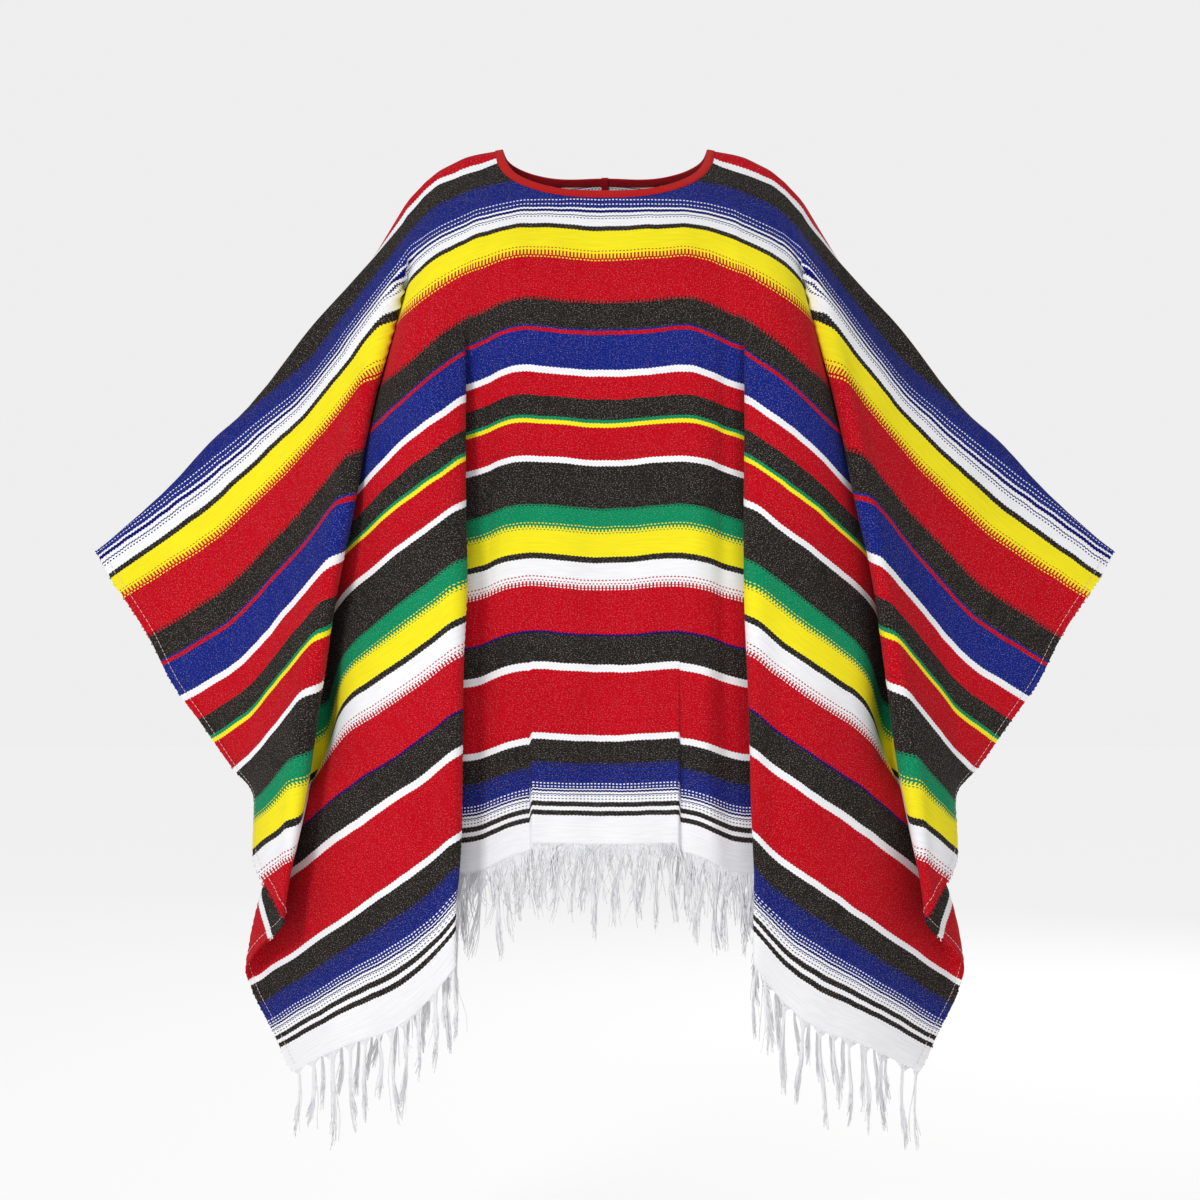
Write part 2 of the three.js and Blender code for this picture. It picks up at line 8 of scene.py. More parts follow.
import bmesh
import bpy
import numpy as np
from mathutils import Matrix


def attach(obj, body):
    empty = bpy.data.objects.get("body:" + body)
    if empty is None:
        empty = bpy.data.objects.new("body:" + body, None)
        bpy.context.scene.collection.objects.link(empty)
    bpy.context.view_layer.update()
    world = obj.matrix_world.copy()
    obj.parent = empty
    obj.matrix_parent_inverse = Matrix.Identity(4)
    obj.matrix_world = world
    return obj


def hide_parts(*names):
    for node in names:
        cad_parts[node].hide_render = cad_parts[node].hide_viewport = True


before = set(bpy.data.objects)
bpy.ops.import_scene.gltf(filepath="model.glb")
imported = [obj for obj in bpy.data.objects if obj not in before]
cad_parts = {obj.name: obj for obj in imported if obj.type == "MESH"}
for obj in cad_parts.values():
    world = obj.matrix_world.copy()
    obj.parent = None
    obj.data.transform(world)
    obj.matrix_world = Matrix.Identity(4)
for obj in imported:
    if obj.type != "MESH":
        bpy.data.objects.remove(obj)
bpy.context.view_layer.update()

MM = 0.001
SEED = 7

# Cut of the cloth
HALF_WIDTH = 850.0
HALF_LENGTH = 862.0
WALL = 1.5
HEM_WIDTH = 10.0
HEM_WALL = 2.6

# Neck hole and its binding
NECK_HALF_WIDTH = 129.0
NECK_DEPTH = 75.0
NECK_POWER = 2.4
NECK_RISE_AT_BACK = 33.0
BINDING_WIDTH = 8.5
BINDING_TAPE = 0.9
TAPE_CLEARANCE = 0.1
TAPE_STATIONS = 260
LAP_WIDTH = 9.0
LAP_TAIL = 15.0
LAP_CLEARANCE = 0.2

# Shoulder line and arms, and how steep a guide line may be beside a flat stretch of it
SHIFT_START = 225.0
SHIFT_AT_EDGE = 84.0
SHIFT_POWER = 1.15
STEEPEST = 2.5

# How the back differs: its pleats lie further out, and it is a little narrower and shallower
BACK_PLEAT_SHIFT = 16.0
BACK_WIDTH_SHARE = 0.985
BACK_DEPTH_SHARE = 0.94

# Pleat bends, as a radius and how far they roll out, and the softening between them
FOLD_ROLL = 9.0
ROLL_SHARE_OF_ROOM = 0.25
ROLL_ARC = 1.57
ROLL_REACH = 1.1
SOFTNESS = 26.0
LEAST_SOFTNESS = 5.0
SOFTNESS_SHARE = 0.45
SMOOTHING_STEPS = 4

# Grid of the cloth. The last columns lie on the side hems, beyond where they start.
YOKE_T = 123.0
YOKE_ROWS = 20
ROW_STEP = 7.0
NECK_COLUMNS = 24
COLUMN_STEP = 4.6
HEM_COLUMNS = (0.8, 2.0, 5.0, 8.0, HEM_WIDTH)
HEM_PUCKER = 0.25

# Waviness of the cloth: of the creases, of the whole, near the hem and near the side edges
CREASE_WANDER = 0.35
RIPPLE = 0.7
HEM_FLUTTER = 1.6
EDGE_FLUTTER = 1.8

# Fringe. Each tuft draws its pinch, waist and splay, and the length of itself and of its threads.
THREAD_STEPS = 11
THREAD_RADIUS = 0.8
THREAD_TAPER = 0.6
THREAD_SPACING = (0.85, 1.2)
TUFT_WIDTH = 16.0
SIDE_TUFT_WIDTH = 25.0
TUFT_WIDTH_VARIES = (0.7, 1.35)
TUFT_PINCH = (0.22, 0.55)
TUFT_WAIST = (0.14, 0.30)
TUFT_SPLAY = (0.02, 0.26)
FRINGE_LENGTH = 106.0
TUFT_LENGTH_VARIES = (0.78, 1.12)
THREAD_LENGTH_VARIES = (0.74, 1.03)
LOOSE_SHARE = 0.09
CROSS_THREADS = 700
CROSS_SPREAD = 240.0
CROSS_SLANT = 13.0
CROSS_DROP = (12, 75)
CROSS_BOW = 4.0

# Knots along the hems, loops of weft at the side edges, and stitches of the side hems
KNOT_POINTS = 1500
KNOT_PITCH = 4.4
KNOT_RADIUS = 0.75
KNOT_SWELL = 0.5
LOOP_OUT = (0.7, 2.4)
LOOP_RAGGED_OUT = (0.5, 3.0)
LOOP_LENGTH = (1.6, 3.4)
LOOP_SPACING = (3.2, 8.0)
LOOP_LIFT = 0.8
LOOP_RADIUS = 0.55
STITCH_PITCH = 5.6
STITCH_LENGTH = 3.8
STITCH_INSET = 1.6
STITCH_RISE = 0.25
STITCH_RADIUS = 0.34

# The ridge over shoulder and arm, s along the cloth's middle line
RIDGE = np.array([
    # s, x, z
    (0, 0, 4), (131, 131, 2), (177, 175, -10), (226, 219, -32), (261, 241, -57), (297, 262, -87),
    (339, 287, -121), (393, 317, -166), (545, 420, -277), (642, 483, -353), (850, 637, -500),
], float)

# Guide lines down the front of one half, from the ridge to the hem, as name, kind, s at the ridge
# and rows of (t, s, x, y, z): a place on the flat cloth, then where it hangs. A hidden line is the
# back bend of a pleat, and a crest is its front bend.
GUIDES = [
    ("centre", "soft", 0, [
        (75, 0, 0, -60, -60), (123, 0, 0, -92, -113), (208, 0, 0, -118, -202),
        (398, 0, 0, -132, -395), (724, 0, 0, -134, -724), (862, 0, 0, -135, -855)]),
    ("middle", "soft", 112, [
        (45, 112, 110, -38, -36), (123, 112, 111, -93, -107), (208, 112, 111, -121, -194),
        (398, 112, 111, -137, -386), (724, 112, 111, -139, -718), (862, 112, 111, -140, -852)]),
    ("flank", "soft", 162, [
        (20, 162, 159, -17, -29), (53, 162, 158, -42, -53), (123, 162, 158, -97, -123),
        (208, 162, 158, -120, -218), (398, 162, 158, -127, -407), (862, 162, 158, -132, -889)]),
    ("panel_hidden", "fold", 177, [
        (20, 177, 174, -17, -33), (53, 177, 171, -42, -58), (123, 177, 168, -96, -128),
        (208, 177, 166, -122, -218), (290, 202, 190, -118, -301), (398, 234, 212, -112, -411),
        (519, 270, 248, -108, -535), (724, 332, 302, -102, -745), (862, 373, 338, -98, -892)]),
    ("panel_crest", "fold", 177, [
        (20, 177, 174, -17, -33), (53, 177, 171, -42, -58), (123, 177, 168, -96, -128),
        (208, 177, 166, -122, -218), (290, 229, 166, -142, -315), (398, 299, 167, -155, -441),
        (519, 376, 170, -165, -587), (724, 507, 174, -175, -833), (862, 596, 178, -180, -988)]),
    ("side_inner", "soft", 222, [
        (20, 222, 216, -16, -49), (53, 222, 214, -42, -77), (123, 222, 209, -93, -147),
        (208, 227, 210, -140, -251), (290, 279, 209, -162, -345), (398, 349, 209, -165, -471),
        (519, 426, 209, -168, -616), (724, 554, 209, -175, -866), (862, 640, 214, -178, -1042)]),
    ("side_middle", "soft", 257, [
        (20, 257, 238, -17, -76), (53, 257, 233, -42, -98), (86, 257, 227, -66, -120),
        (123, 258, 236, -88, -170), (160, 262, 243, -108, -216), (208, 272, 246, -138, -286),
        (290, 325, 245, -150, -370), (398, 394, 245, -155, -495), (519, 471, 245, -160, -642),
        (724, 602, 245, -170, -890), (862, 690, 250, -172, -1072)]),
    ("side_outer", "soft", 268, [
        (20, 268, 246, -17, -84), (53, 268, 241, -42, -105), (86, 268, 233, -67, -124),
        (123, 282, 243, -70, -180), (160, 291, 252, -85, -222), (208, 307, 265, -112, -293),
        (290, 408, 297, -112, -423), (398, 501, 320, -105, -552), (454, 526, 316, -125, -621),
        (512, 558, 316, -125, -679), (605, 616, 316, -130, -791), (724, 695, 317, -140, -943),
        (862, 775, 314, -150, -1095)]),
    ("sleeve_hidden", "fold", 277, [
        (20, 277, 250, -17, -92), (53, 277, 246, -42, -113), (86, 277, 238, -68, -128),
        (123, 306, 255, -56, -190), (208, 395, 300, -40, -320), (290, 467, 332, -66, -438),
        (398, 562, 352, -70, -588), (454, 611, 350, -66, -690), (512, 662, 355, -66, -770),
        (605, 744, 405, -60, -872), (649, 783, 422, -57, -925), (724, 849, 440, -55, -1027),
        (862, 971, 486, -72, -1186)]),
    ("sleeve_crest", "fold", 277, [
        (20, 277, 250, -17, -92), (53, 277, 246, -42, -113), (86, 277, 238, -68, -128),
        (123, 383, 263, -86, -223), (160, 440, 280, -107, -293), (208, 497, 297, -128, -380),
        (290, 571, 319, -150, -506), (398, 668, 346, -150, -663), (512, 770, 371, -150, -822),
        (605, 854, 388, -148, -945), (724, 961, 415, -148, -1095), (862, 1085, 460, -150, -1250)]),
    ("sleeve_inner", "soft", 468, [
        (53, 492, 370, -10, -265), (88, 510, 370, -40, -297), (123, 539, 369, -62, -340),
        (160, 577, 371, -75, -389), (208, 615, 381, -88, -464), (290, 664, 390, -100, -573),
        (398, 729, 391, -122, -703), (512, 797, 392, -130, -836), (605, 874, 405, -140, -955),
        (862, 1105, 477, -140, -1262)]),
    ("sleeve_outer", "soft", 659, [
        (88, 676, 492, -20, -394), (123, 696, 484, -38, -445), (160, 713, 469, -48, -482),
        (208, 732, 463, -58, -545), (290, 757, 447, -66, -636), (398, 789, 427, -85, -745),
        (512, 823, 415, -112, -852), (605, 894, 421, -130, -966), (862, 1125, 494, -130, -1274)]),
    ("sleeve_edge", "soft", 850, [
        (123, 850, 615, -12, -535), (160, 850, 597, -20, -560), (208, 850, 567, -25, -607),
        (290, 850, 526, -30, -680), (398, 850, 457, -52, -769), (454, 850, 432, -62, -806),
        (512, 850, 428, -86, -866), (605, 914, 437, -118, -978), (862, 1145, 511, -120, -1286)]),
]

# Soft creases, listed as (side, start s, start t, end s, end t, half width, height). Side 1
# is the front and -1 the back, s keeps its sign, and a negative height is a trough.
CREASES = [
    (1, -104, 90, -110, 640, 13, 2.6), (1, 104, 90, 110, 600, 13, 2.4),
    (1, -146, 150, -152, 862, 12, -5.0), (1, 147, 160, 153, 862, 12, -4.6),
    (1, -36, 330, -50, 850, 24, 3.2), (1, 44, 420, 36, 850, 22, 2.8),
    (1, -8, 520, -14, 862, 16, -3.0), (1, 122, 620, 130, 860, 10, 3.0),
    (1, -126, 640, -122, 860, 10, 2.8), (1, -60, 90, -88, 260, 18, 1.8),
    (1, 240, 230, 420, 560, 22, 4.0), (1, -236, 240, -400, 520, 24, 4.0),
    (1, 300, 420, 520, 840, 26, 4.6), (1, -330, 400, -560, 850, 28, 4.2),
    (1, 420, 520, 600, 800, 18, -4.0), (1, -440, 560, -640, 850, 18, -3.8),
    (1, 330, 120, 560, 330, 28, 3.6), (1, -340, 130, -585, 340, 30, 3.4),
    (1, 420, 110, 640, 250, 20, -2.6), (1, -430, 115, -660, 270, 22, -2.4),
    (1, 560, 330, 760, 500, 24, 3.0), (1, -545, 320, -770, 480, 26, 2.8),
    (1, 640, 120, 800, 210, 18, 2.2), (1, -650, 130, -790, 240, 18, 2.0),
    (1, 700, 300, 830, 420, 14, -2.0), (1, -690, 290, -825, 400, 15, -2.2),
    (-1, -70, 90, -110, 520, 28, 3.0), (-1, 64, 100, 96, 460, 26, 2.8),
    (-1, 4, 140, -12, 600, 30, -2.6), (-1, -40, 480, -60, 860, 26, 3.0),
    (-1, 52, 520, 70, 860, 28, 3.2), (-1, 120, 420, 140, 860, 16, -2.4),
    (-1, -128, 460, -140, 860, 16, -2.2), (-1, 230, 180, 430, 560, 26, 3.2),
    (-1, -226, 200, -410, 540, 26, 3.4), (-1, 320, 460, 560, 850, 26, 3.0),
    (-1, -310, 440, -540, 840, 24, 3.2), (-1, 350, 90, 600, 320, 30, 3.8),
    (-1, -360, 100, -590, 300, 28, 3.6), (-1, 450, 60, 700, 240, 22, -2.8),
    (-1, -470, 70, -680, 220, 20, -2.6), (-1, 580, 330, 780, 560, 24, 3.0),
    (-1, -600, 340, -770, 540, 24, 2.8),
]

# The small lap low in the front's middle panel: where it lies, how far it drops, how deep it is,
# how sharp its step is, and how wide its crest and trough are. Four columns lie at its step.
LAP_S = 90.0
LAP_FADE_S = 215.0
LAP_START_T = 590.0
LAP_FULL_T = 800.0
LAP_DROP = 10.0
LAP_DEPTH = 3.4
LAP_STEP = 1.6
LAP_CREST = 14.0
LAP_TROUGH = 10.0
LAP_COLUMNS = (-1.4, -0.5, 0.5, 1.4)
LAP_ROOM = 2.2

COLOURS = {
    # sRGB bytes, then how strongly pale flecks show
    "red": (191, 0, 24, 0.22),
    "black": (34, 30, 27, 0.42),
    "blue": (16, 34, 126, 0.34),
    "navy": (12, 12, 104, 0.06),
    "white": (247, 247, 250, 0.0),
    "yellow": (250, 234, 34, 0.03),
    "green": (2, 138, 92, 0.24),
}

# The stripes mirror a little in front of the shoulder line, come a little earlier behind the neck,
# and wander a little up and down
MIRROR_T = 4.0
BACK_EARLY = 14.0
EARLY_COMES = (-10.0, -60.0)
EARLY_GOES = (-130.0, -240.0)
STRIPE_SAG = 5.0

# Stripes down the cloth from the shoulder line: where each ends, and its colour
STRIPES = [
    (13, "red"), (20, "white"), (53, "black"), (96, "blue"), (97.8, "white"), (101.3, "navy"),
    (104.4, "white"), (105.9, "navy"), (117, "white"), (123, "black"), (153, "yellow"),
    (208, "red"), (241, "black"), (243.5, "blue"), (247.5, "red"), (290.5, "blue"),
    (298.5, "white"), (325, "red"), (349, "black"), (353, "green"), (358, "yellow"), (398, "red"),
    (404.5, "white"), (454.5, "black"), (481, "green"), (512, "yellow"), (519, "black"),
    (548, "white"), (604.5, "red"), (607, "navy"), (641, "black"), (649, "white"), (724.5, "red"),
    (732, "white"), (759.5, "black"), (793, "blue"), (794.4, "white"), (796.4, "navy"),
    (798.6, "white"), (799.8, "navy"), (809.4, "white"), (815, "black"), (820, "white"),
    (826.5, "black"), (870, "white"),
]
RAMP_BREAKS = [290.5, 548.0]

# Rows of dots between stripes: middle, half width, colour, and 1 where they stand between the teeth
DOTTED = [
    (86.0, 0.7, "white", 0), (91.8, 0.7, "white", 0), (108.8, 0.6, "navy", 0),
    (148.0, 0.6, "red", 0), (156.2, 0.6, "yellow", 1), (159.2, 0.7, "yellow", 0),
    (391.5, 0.4, "black", 0), (457.0, 0.8, "black", 0), (477.4, 0.6, "yellow", 1),
    (484.8, 0.6, "green", 0), (540.5, 0.8, "red", 0), (544.6, 0.7, "red", 1),
    (551.4, 0.8, "white", 1), (786.6, 0.7, "white", 0), (790.4, 0.7, "white", 0),
    (802.2, 0.6, "navy", 0), (806.0, 0.6, "navy", 0),
]

# Stripe edges that interlock in teeth: where, over what half width, and how far the teeth reach
TOOTHED = [
    (153.0, 3.6, 2.2), (208.0, 4.0, 2.0), (481.0, 3.0, 1.5), (548.0, 3.0, 1.6), (605.5, 2.0, 0.7),
]
PLAIN_EDGE = 0.3
DOT_PITCH = 4.4

# Fine dark lines in the blue stripes: middle, half width. One number says how dark they all are.
FINE_LINES = [
    (56.2, 0.8), (60.4, 0.5), (66.0, 0.35), (71.0, 0.35), (76.0, 0.35), (762.6, 0.9), (766.4, 0.7),
    (771.5, 0.6), (776.0, 0.45), (780.5, 0.45),
]
FINE_LINE_SHADE = 0.75

# Threads' pitch in the cloth and ribs in the neck tape, and what each material's surface is like
WEFT_PITCH = 1.15
RIB_PITCH = 1.3
FLECK_COLOUR = (0.58, 0.50, 0.46, 1.0)
CLOTH_FINISH = {
    "Roughness": 0.88, "Specular IOR Level": 0.06, "Sheen Weight": 0.03, "Sheen Roughness": 0.6,
}
TAPE_FINISH = {"Roughness": 0.72, "Specular IOR Level": 0.2, "Sheen Weight": 0.06}
THREAD_FINISH = {
    "Roughness": 0.85, "Sheen Weight": 0.25, "Subsurface Weight": 0.15,
    "Subsurface Radius": (0.001, 0.001, 0.001),
}

# sRGB bytes of the neck tape's outer face and its darker inner face, whose darkness is painted
# shade, then of the fringe and the stitches
TAPE_OUTSIDE = (208, 20, 16)
TAPE_INSIDE_PAINTED_SHADE = (172, 6, 26)
FRINGE_COLOUR = (249, 249, 252)
STITCH_COLOUR = (232, 214, 208)


def smoothstep(low, high, value):
    share = np.clip((value - low) / (high - low), 0.0, 1.0)
    return share * share * (3.0 - 2.0 * share)


def ridge_point(s):
    x, z = (np.interp(s, RIDGE[:, 0], RIDGE[:, column]) for column in (1, 2))
    return np.array([x, 0.0, z])


def ridge_shift(s):
    """How far the cloth has slid back over the arm, so that its middle lies behind the ridge."""
    along = np.clip((s - SHIFT_START) / (HALF_WIDTH - SHIFT_START), 0.0, 1.0)
    return SHIFT_AT_EDGE * along ** SHIFT_POWER


def back_row(row, start):
    """A guide line's row for the back, which is a little higher at the neck than the front."""
    t, s, x, y, z = row
    shift = ridge_shift(start)
    stretch = (HALF_LENGTH + shift) / (HALF_LENGTH - shift)
    rise = NECK_RISE_AT_BACK * (1 - smoothstep(70, 230, x)) * smoothstep(0, 75, t)
    pleat = BACK_PLEAT_SHIFT * smoothstep(208, 400, t)
    pleat = pleat * smoothstep(120, 165, x) * (1 - smoothstep(250, 330, x))
    place = ((x + pleat) * BACK_WIDTH_SHARE, -BACK_DEPTH_SHARE * y, z + rise)
    return (shift - (t - shift) * stretch, s) + place


def full_guide(start, rows):
    """A guide line from the back hem over the ridge to the front hem."""
    x, y, z = ridge_point(start)
    top = (ridge_shift(start), start, x, y, z)
    back = [back_row(row, start) for row in rows][::-1]
    return np.array(back + [top] + list(rows), float)


LINES = [full_guide(start, rows) for _, _, start, rows in GUIDES]
IS_FOLD = [kind == "fold" for _, kind, _, _ in GUIDES]


def on_line(rows, t):
    """s, x, y, z for each t, on a smooth curve through the rows that goes straight on past them."""
    where, values = rows[:, 0], rows[:, 1:]
    secant = np.diff(values, axis=0) / np.diff(where)[:, None]
    before, after = secant[:-1], secant[1:]
    middle = (values[2:] - values[:-2]) / (where[2:] - where[:-2])[:, None]
    most = STEEPEST * np.minimum(np.abs(before), np.abs(after))
    middle = np.where(before * after > 0, np.clip(middle, -most, most), 0.0)
    slope = np.vstack([secant[:1], middle, secant[-1:]])
    i = np.clip(np.searchsorted(where, t), 1, len(where) - 1)
    span = (where[i] - where[i - 1])[:, None]
    f = ((t - where[i - 1]) / (where[i] - where[i - 1]))[:, None]
    inside = np.clip(f, 0, 1)
    f2, f3 = inside ** 2, inside ** 3
    curve = (
        (2 * f3 - 3 * f2 + 1) * values[i - 1] + (f3 - 2 * f2 + inside) * span * slope[i - 1]
        + (3 * f2 - 2 * f3) * values[i] + (f3 - f2) * span * slope[i]
    )
    past = (f - inside) * span
    return curve + past * np.where(f > 1, slope[i], slope[i - 1])


def unit(v):
    return v / np.maximum(np.linalg.norm(v, axis=-1, keepdims=True), 1e-9)


def sections(t):
    """One thread across the cloth for each t: knots of s and place, and where the folds are."""
    at = [on_line(rows, t) for rows in LINES]
    knots = []
    folds = []
    for i, here in enumerate(at):
        if not IS_FOLD[i]:
            knots.append(here)
            continue
        before, after = at[i - 1], at[i + 1]
        room = np.minimum(here[:, 0] - before[:, 0], after[:, 0] - here[:, 0])
        roll = np.clip(ROLL_SHARE_OF_ROOM * room, 0.0, FOLD_ROLL)[:, None]
        along = unit(on_line(LINES[i], t + 1)[:, 1:] - on_line(LINES[i], t - 1)[:, 1:])
        inward = unit(before[:, 1:] - here[:, 1:])
        outward = unit(after[:, 1:] - here[:, 1:])
        apart = inward - outward
        apart = unit(apart - along * np.sum(apart * along, axis=1, keepdims=True))
        inner = here[:, 1:] + (ROLL_REACH * inward + apart) * roll
        outer = here[:, 1:] + (ROLL_REACH * outward - apart) * roll
        knots += [
            np.hstack([here[:, :1] - ROLL_ARC * roll, inner]), here,
            np.hstack([here[:, :1] + ROLL_ARC * roll, outer]),
        ]
        folds.append(here[:, 0])
    last, end = knots[-2], knots[-1]
    knots.append(end + (end - last))
    stack = np.stack(knots, axis=1)
    order = np.maximum.accumulate(stack[:, :, 0] + 1e-6 * np.arange(stack.shape[1]), axis=1)
    return order, stack[:, :, 1:], np.stack(folds, axis=1)


def cloth(s, t):
    """Places of the cloth's middle surface. s has a row for each t."""
    knots, places, folds = sections(t)
    result = np.zeros(s.shape + (3,))
    for i in range(len(t)):
        nearest = np.min(np.abs(folds[i][:, None] - np.abs(s[i])[None, :]), axis=0)
        reach = np.clip(SOFTNESS_SHARE * nearest, LEAST_SOFTNESS, SOFTNESS)
        spread = np.linspace(-1, 1, 2 * SMOOTHING_STEPS + 1)
        sample = s[i][None, :] + reach[None, :] * spread[:, None]
        for axis in range(3):
            value = np.interp(np.abs(sample), knots[i], places[i][:, axis])
            if axis == 0:
                value = value * np.sign(sample)
            result[i, :, axis] = value.mean(axis=0)
    return result


def cloth_at(s, t):
    """Places for single points of the flat cloth."""
    s, t = np.asarray(s, float), np.asarray(t, float)
    return cloth(s.reshape(-1, 1), t.reshape(-1))[:, 0, :]


def relief(s, t):
    """Height of the soft creases and waves above the plain surface."""
    side = np.where(t >= 0, 1, -1)
    down = np.abs(t)
    height = np.zeros_like(s)
    for n, (face, s0, t0, s1, t1, width, tall) in enumerate(CREASES):
        length = math.hypot(s1 - s0, t1 - t0)
        ds, dt = (s1 - s0) / length, (t1 - t0) / length
        along = ((s - s0) * ds + (down - t0) * dt) / length
        wander = CREASE_WANDER * width * np.sin(5.0 * along + 1.7 * n)
        off = ((s - s0) * dt - (down - t0) * ds + wander) / width
        taper = smoothstep(-0.15, 0.25, along) * (1 - smoothstep(0.7, 1.12, along))
        height += np.where(side == face, tall * np.exp(-off * off) * taper, 0.0)
    ripple = np.sin(0.021 * s + 0.012 * t) * np.sin(0.017 * t - 0.008 * s + 1.0)
    flutter = smoothstep(640, HALF_LENGTH, down) * HEM_FLUTTER
    flutter = flutter * np.sin(0.055 * s + 0.9 * side) * np.sin(0.013 * s)
    edge = smoothstep(760, HALF_WIDTH, np.abs(s)) * EDGE_FLUTTER
    edge = edge * np.sin(0.052 * down + 0.6 * side)
    calm = smoothstep(0, 45, down - neck_edge(s))
    return (height + RIPPLE * ripple + flutter + edge) * calm


def small_lap(s, t):
    """The little lap in the middle panel of the front, as a shift of place."""
    amount = smoothstep(LAP_START_T, LAP_FULL_T, t)
    across = np.abs(s)
    outside = smoothstep(LAP_S - LAP_STEP, LAP_S + LAP_STEP, across)
    fade = 1 - smoothstep(LAP_S + 20, LAP_FADE_S, across)
    crest = np.exp(-((LAP_S - across) / LAP_CREST) ** 2) * (1 - outside)
    trough = np.exp(-((across - LAP_S) / LAP_TROUGH) ** 2) * outside
    shift = np.zeros(s.shape + (3,))
    shift[..., 1] = amount * LAP_DEPTH * (trough - crest)
    shift[..., 2] = -amount * LAP_DROP * outside * fade
    return shift


def neck_edge(s):
    """How far the neck hole reaches from the shoulder line, and 0 beside it."""
    share = np.clip(np.abs(s) / NECK_HALF_WIDTH, 0, 1)
    return NECK_DEPTH * (1 - share ** NECK_POWER) ** (1 / NECK_POWER)


def grid_normals(places, outward):
    down = np.gradient(places, axis=0)
    across = np.gradient(places, axis=1)
    return unit(np.cross(down, across)) * outward


def cloth_columns():
    """s of each column of the cloth's grid, closer together at the lap and on the side hems."""
    angles = np.linspace(0, math.pi / 2, NECK_COLUMNS + 1)
    near = NECK_HALF_WIDTH * np.sin(angles) ** (2 / NECK_POWER)
    near[0] = 0.0
    near = near[np.abs(near - LAP_S) > LAP_ROOM * LAP_STEP]
    near = np.sort(np.concatenate([near, LAP_S + LAP_STEP * np.array(LAP_COLUMNS)]))
    hem = HALF_WIDTH - HEM_WIDTH
    count = round((hem - NECK_HALF_WIDTH) / COLUMN_STEP)
    far = np.linspace(NECK_HALF_WIDTH, hem, count + 1)[1:]
    half = np.concatenate([near, far, hem + np.array(HEM_COLUMNS)])
    return np.concatenate([-half[:0:-1], half])


def cloth_grid(side):
    """s, t, places and normals of one half of the cloth, in rows from the neck to the hem."""
    columns = cloth_columns()
    shares = np.linspace(0, 1, YOKE_ROWS, endpoint=False)
    count = round((HALF_LENGTH - YOKE_T) / ROW_STEP)
    lower = np.linspace(YOKE_T, HALF_LENGTH, count + 1)
    top = neck_edge(columns)
    yoke = top[None, :] + (YOKE_T - top[None, :]) * shares[:, None]
    t = side * np.vstack([yoke, np.repeat(lower[:, None], len(columns), axis=1)])
    s = np.repeat(columns[None, :], len(t), axis=0)
    yoke_s, yoke_t = s[:YOKE_ROWS], t[:YOKE_ROWS]
    yoke_places = cloth_at(yoke_s.ravel(), yoke_t.ravel()).reshape(yoke_s.shape + (3,))
    places = np.concatenate([yoke_places, cloth(s[YOKE_ROWS:], t[YOKE_ROWS:, 0])])
    normals = grid_normals(places, side)
    places = places + normals * relief(s, t)[..., None]
    if side > 0:
        places = places + small_lap(s, t)
    return s, t, places, grid_normals(places, side)


def new_mesh(name, vertices, faces, material):
    """A piece with its vertices in millimetres, riding on the one body."""
    mesh = bpy.data.meshes.new(name)
    mesh.from_pydata((np.asarray(vertices) * MM).tolist(), [], faces)
    mesh.materials.append(material)
    mesh.polygons.foreach_set("use_smooth", np.ones(len(mesh.polygons), bool))
    piece = bpy.data.objects.new(name, mesh)
    bpy.context.scene.collection.objects.link(piece)
    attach(piece, "root")
    return piece


def set_cut_uv(piece, flat):
    """Stores each vertex's place on the flat cloth, in metres, as the UV map called cut."""
    mesh = piece.data
    layer = mesh.uv_layers.new(name="cut")
    corners = np.empty(len(mesh.loops), int)
    mesh.loops.foreach_get("vertex_index", corners)
    layer.data.foreach_set("uv", (np.asarray(flat)[corners] * MM).ravel())


def cloth_half(name, node, side, material, grid, shared_normals):
    """One half of the cloth as a thin closed shell, thicker at its turned side hems."""
    s, t, places, normals = grid
    rows, columns = s.shape
    normals = normals.copy()
    normals[0] = shared_normals
    past_hem = np.abs(s) - (HALF_WIDTH - HEM_WIDTH)
    pucker = HEM_PUCKER * np.sin(t / 2.4) * (past_hem > 0)
    wall = np.where(past_hem > 0.1, HEM_WALL, WALL) + pucker
    outer = places + normals * wall[..., None] / 2
    inner = places - normals * wall[..., None] / 2
    vertices = np.concatenate([outer.reshape(-1, 3), inner.reshape(-1, 3)])
    index = np.arange(rows * columns).reshape(rows, columns)
    under = index + rows * columns
    a, b, c, d = index[:-1, :-1], index[1:, :-1], index[1:, 1:], index[:-1, 1:]
    quads = [np.stack([a, b, c, d], -1).reshape(-1, 4)]
    quads.append(np.stack([a, d, c, b], -1).reshape(-1, 4) + rows * columns)
    surface = 2 * len(quads[0])
    for edge, other in (
        (index[0, ::-1], under[0, ::-1]), (index[-1], under[-1]),
        (index[:, 0], under[:, 0]), (index[::-1, -1], under[::-1, -1]),
    ):
        quads.append(np.stack([edge[:-1], other[:-1], other[1:], edge[1:]], -1))
    quads = np.concatenate(quads)
    if side < 0:
        quads = quads[:, ::-1]
    piece = new_mesh(name, vertices, quads.tolist(), material)
    flat = np.stack([s.ravel(), t.ravel()], -1)
    set_cut_uv(piece, np.concatenate([flat, flat]))
    normals = normals.reshape(-1, 3)
    set_corner_normals(piece, np.concatenate([normals, -normals]), surface)
    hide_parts(node)
    return piece


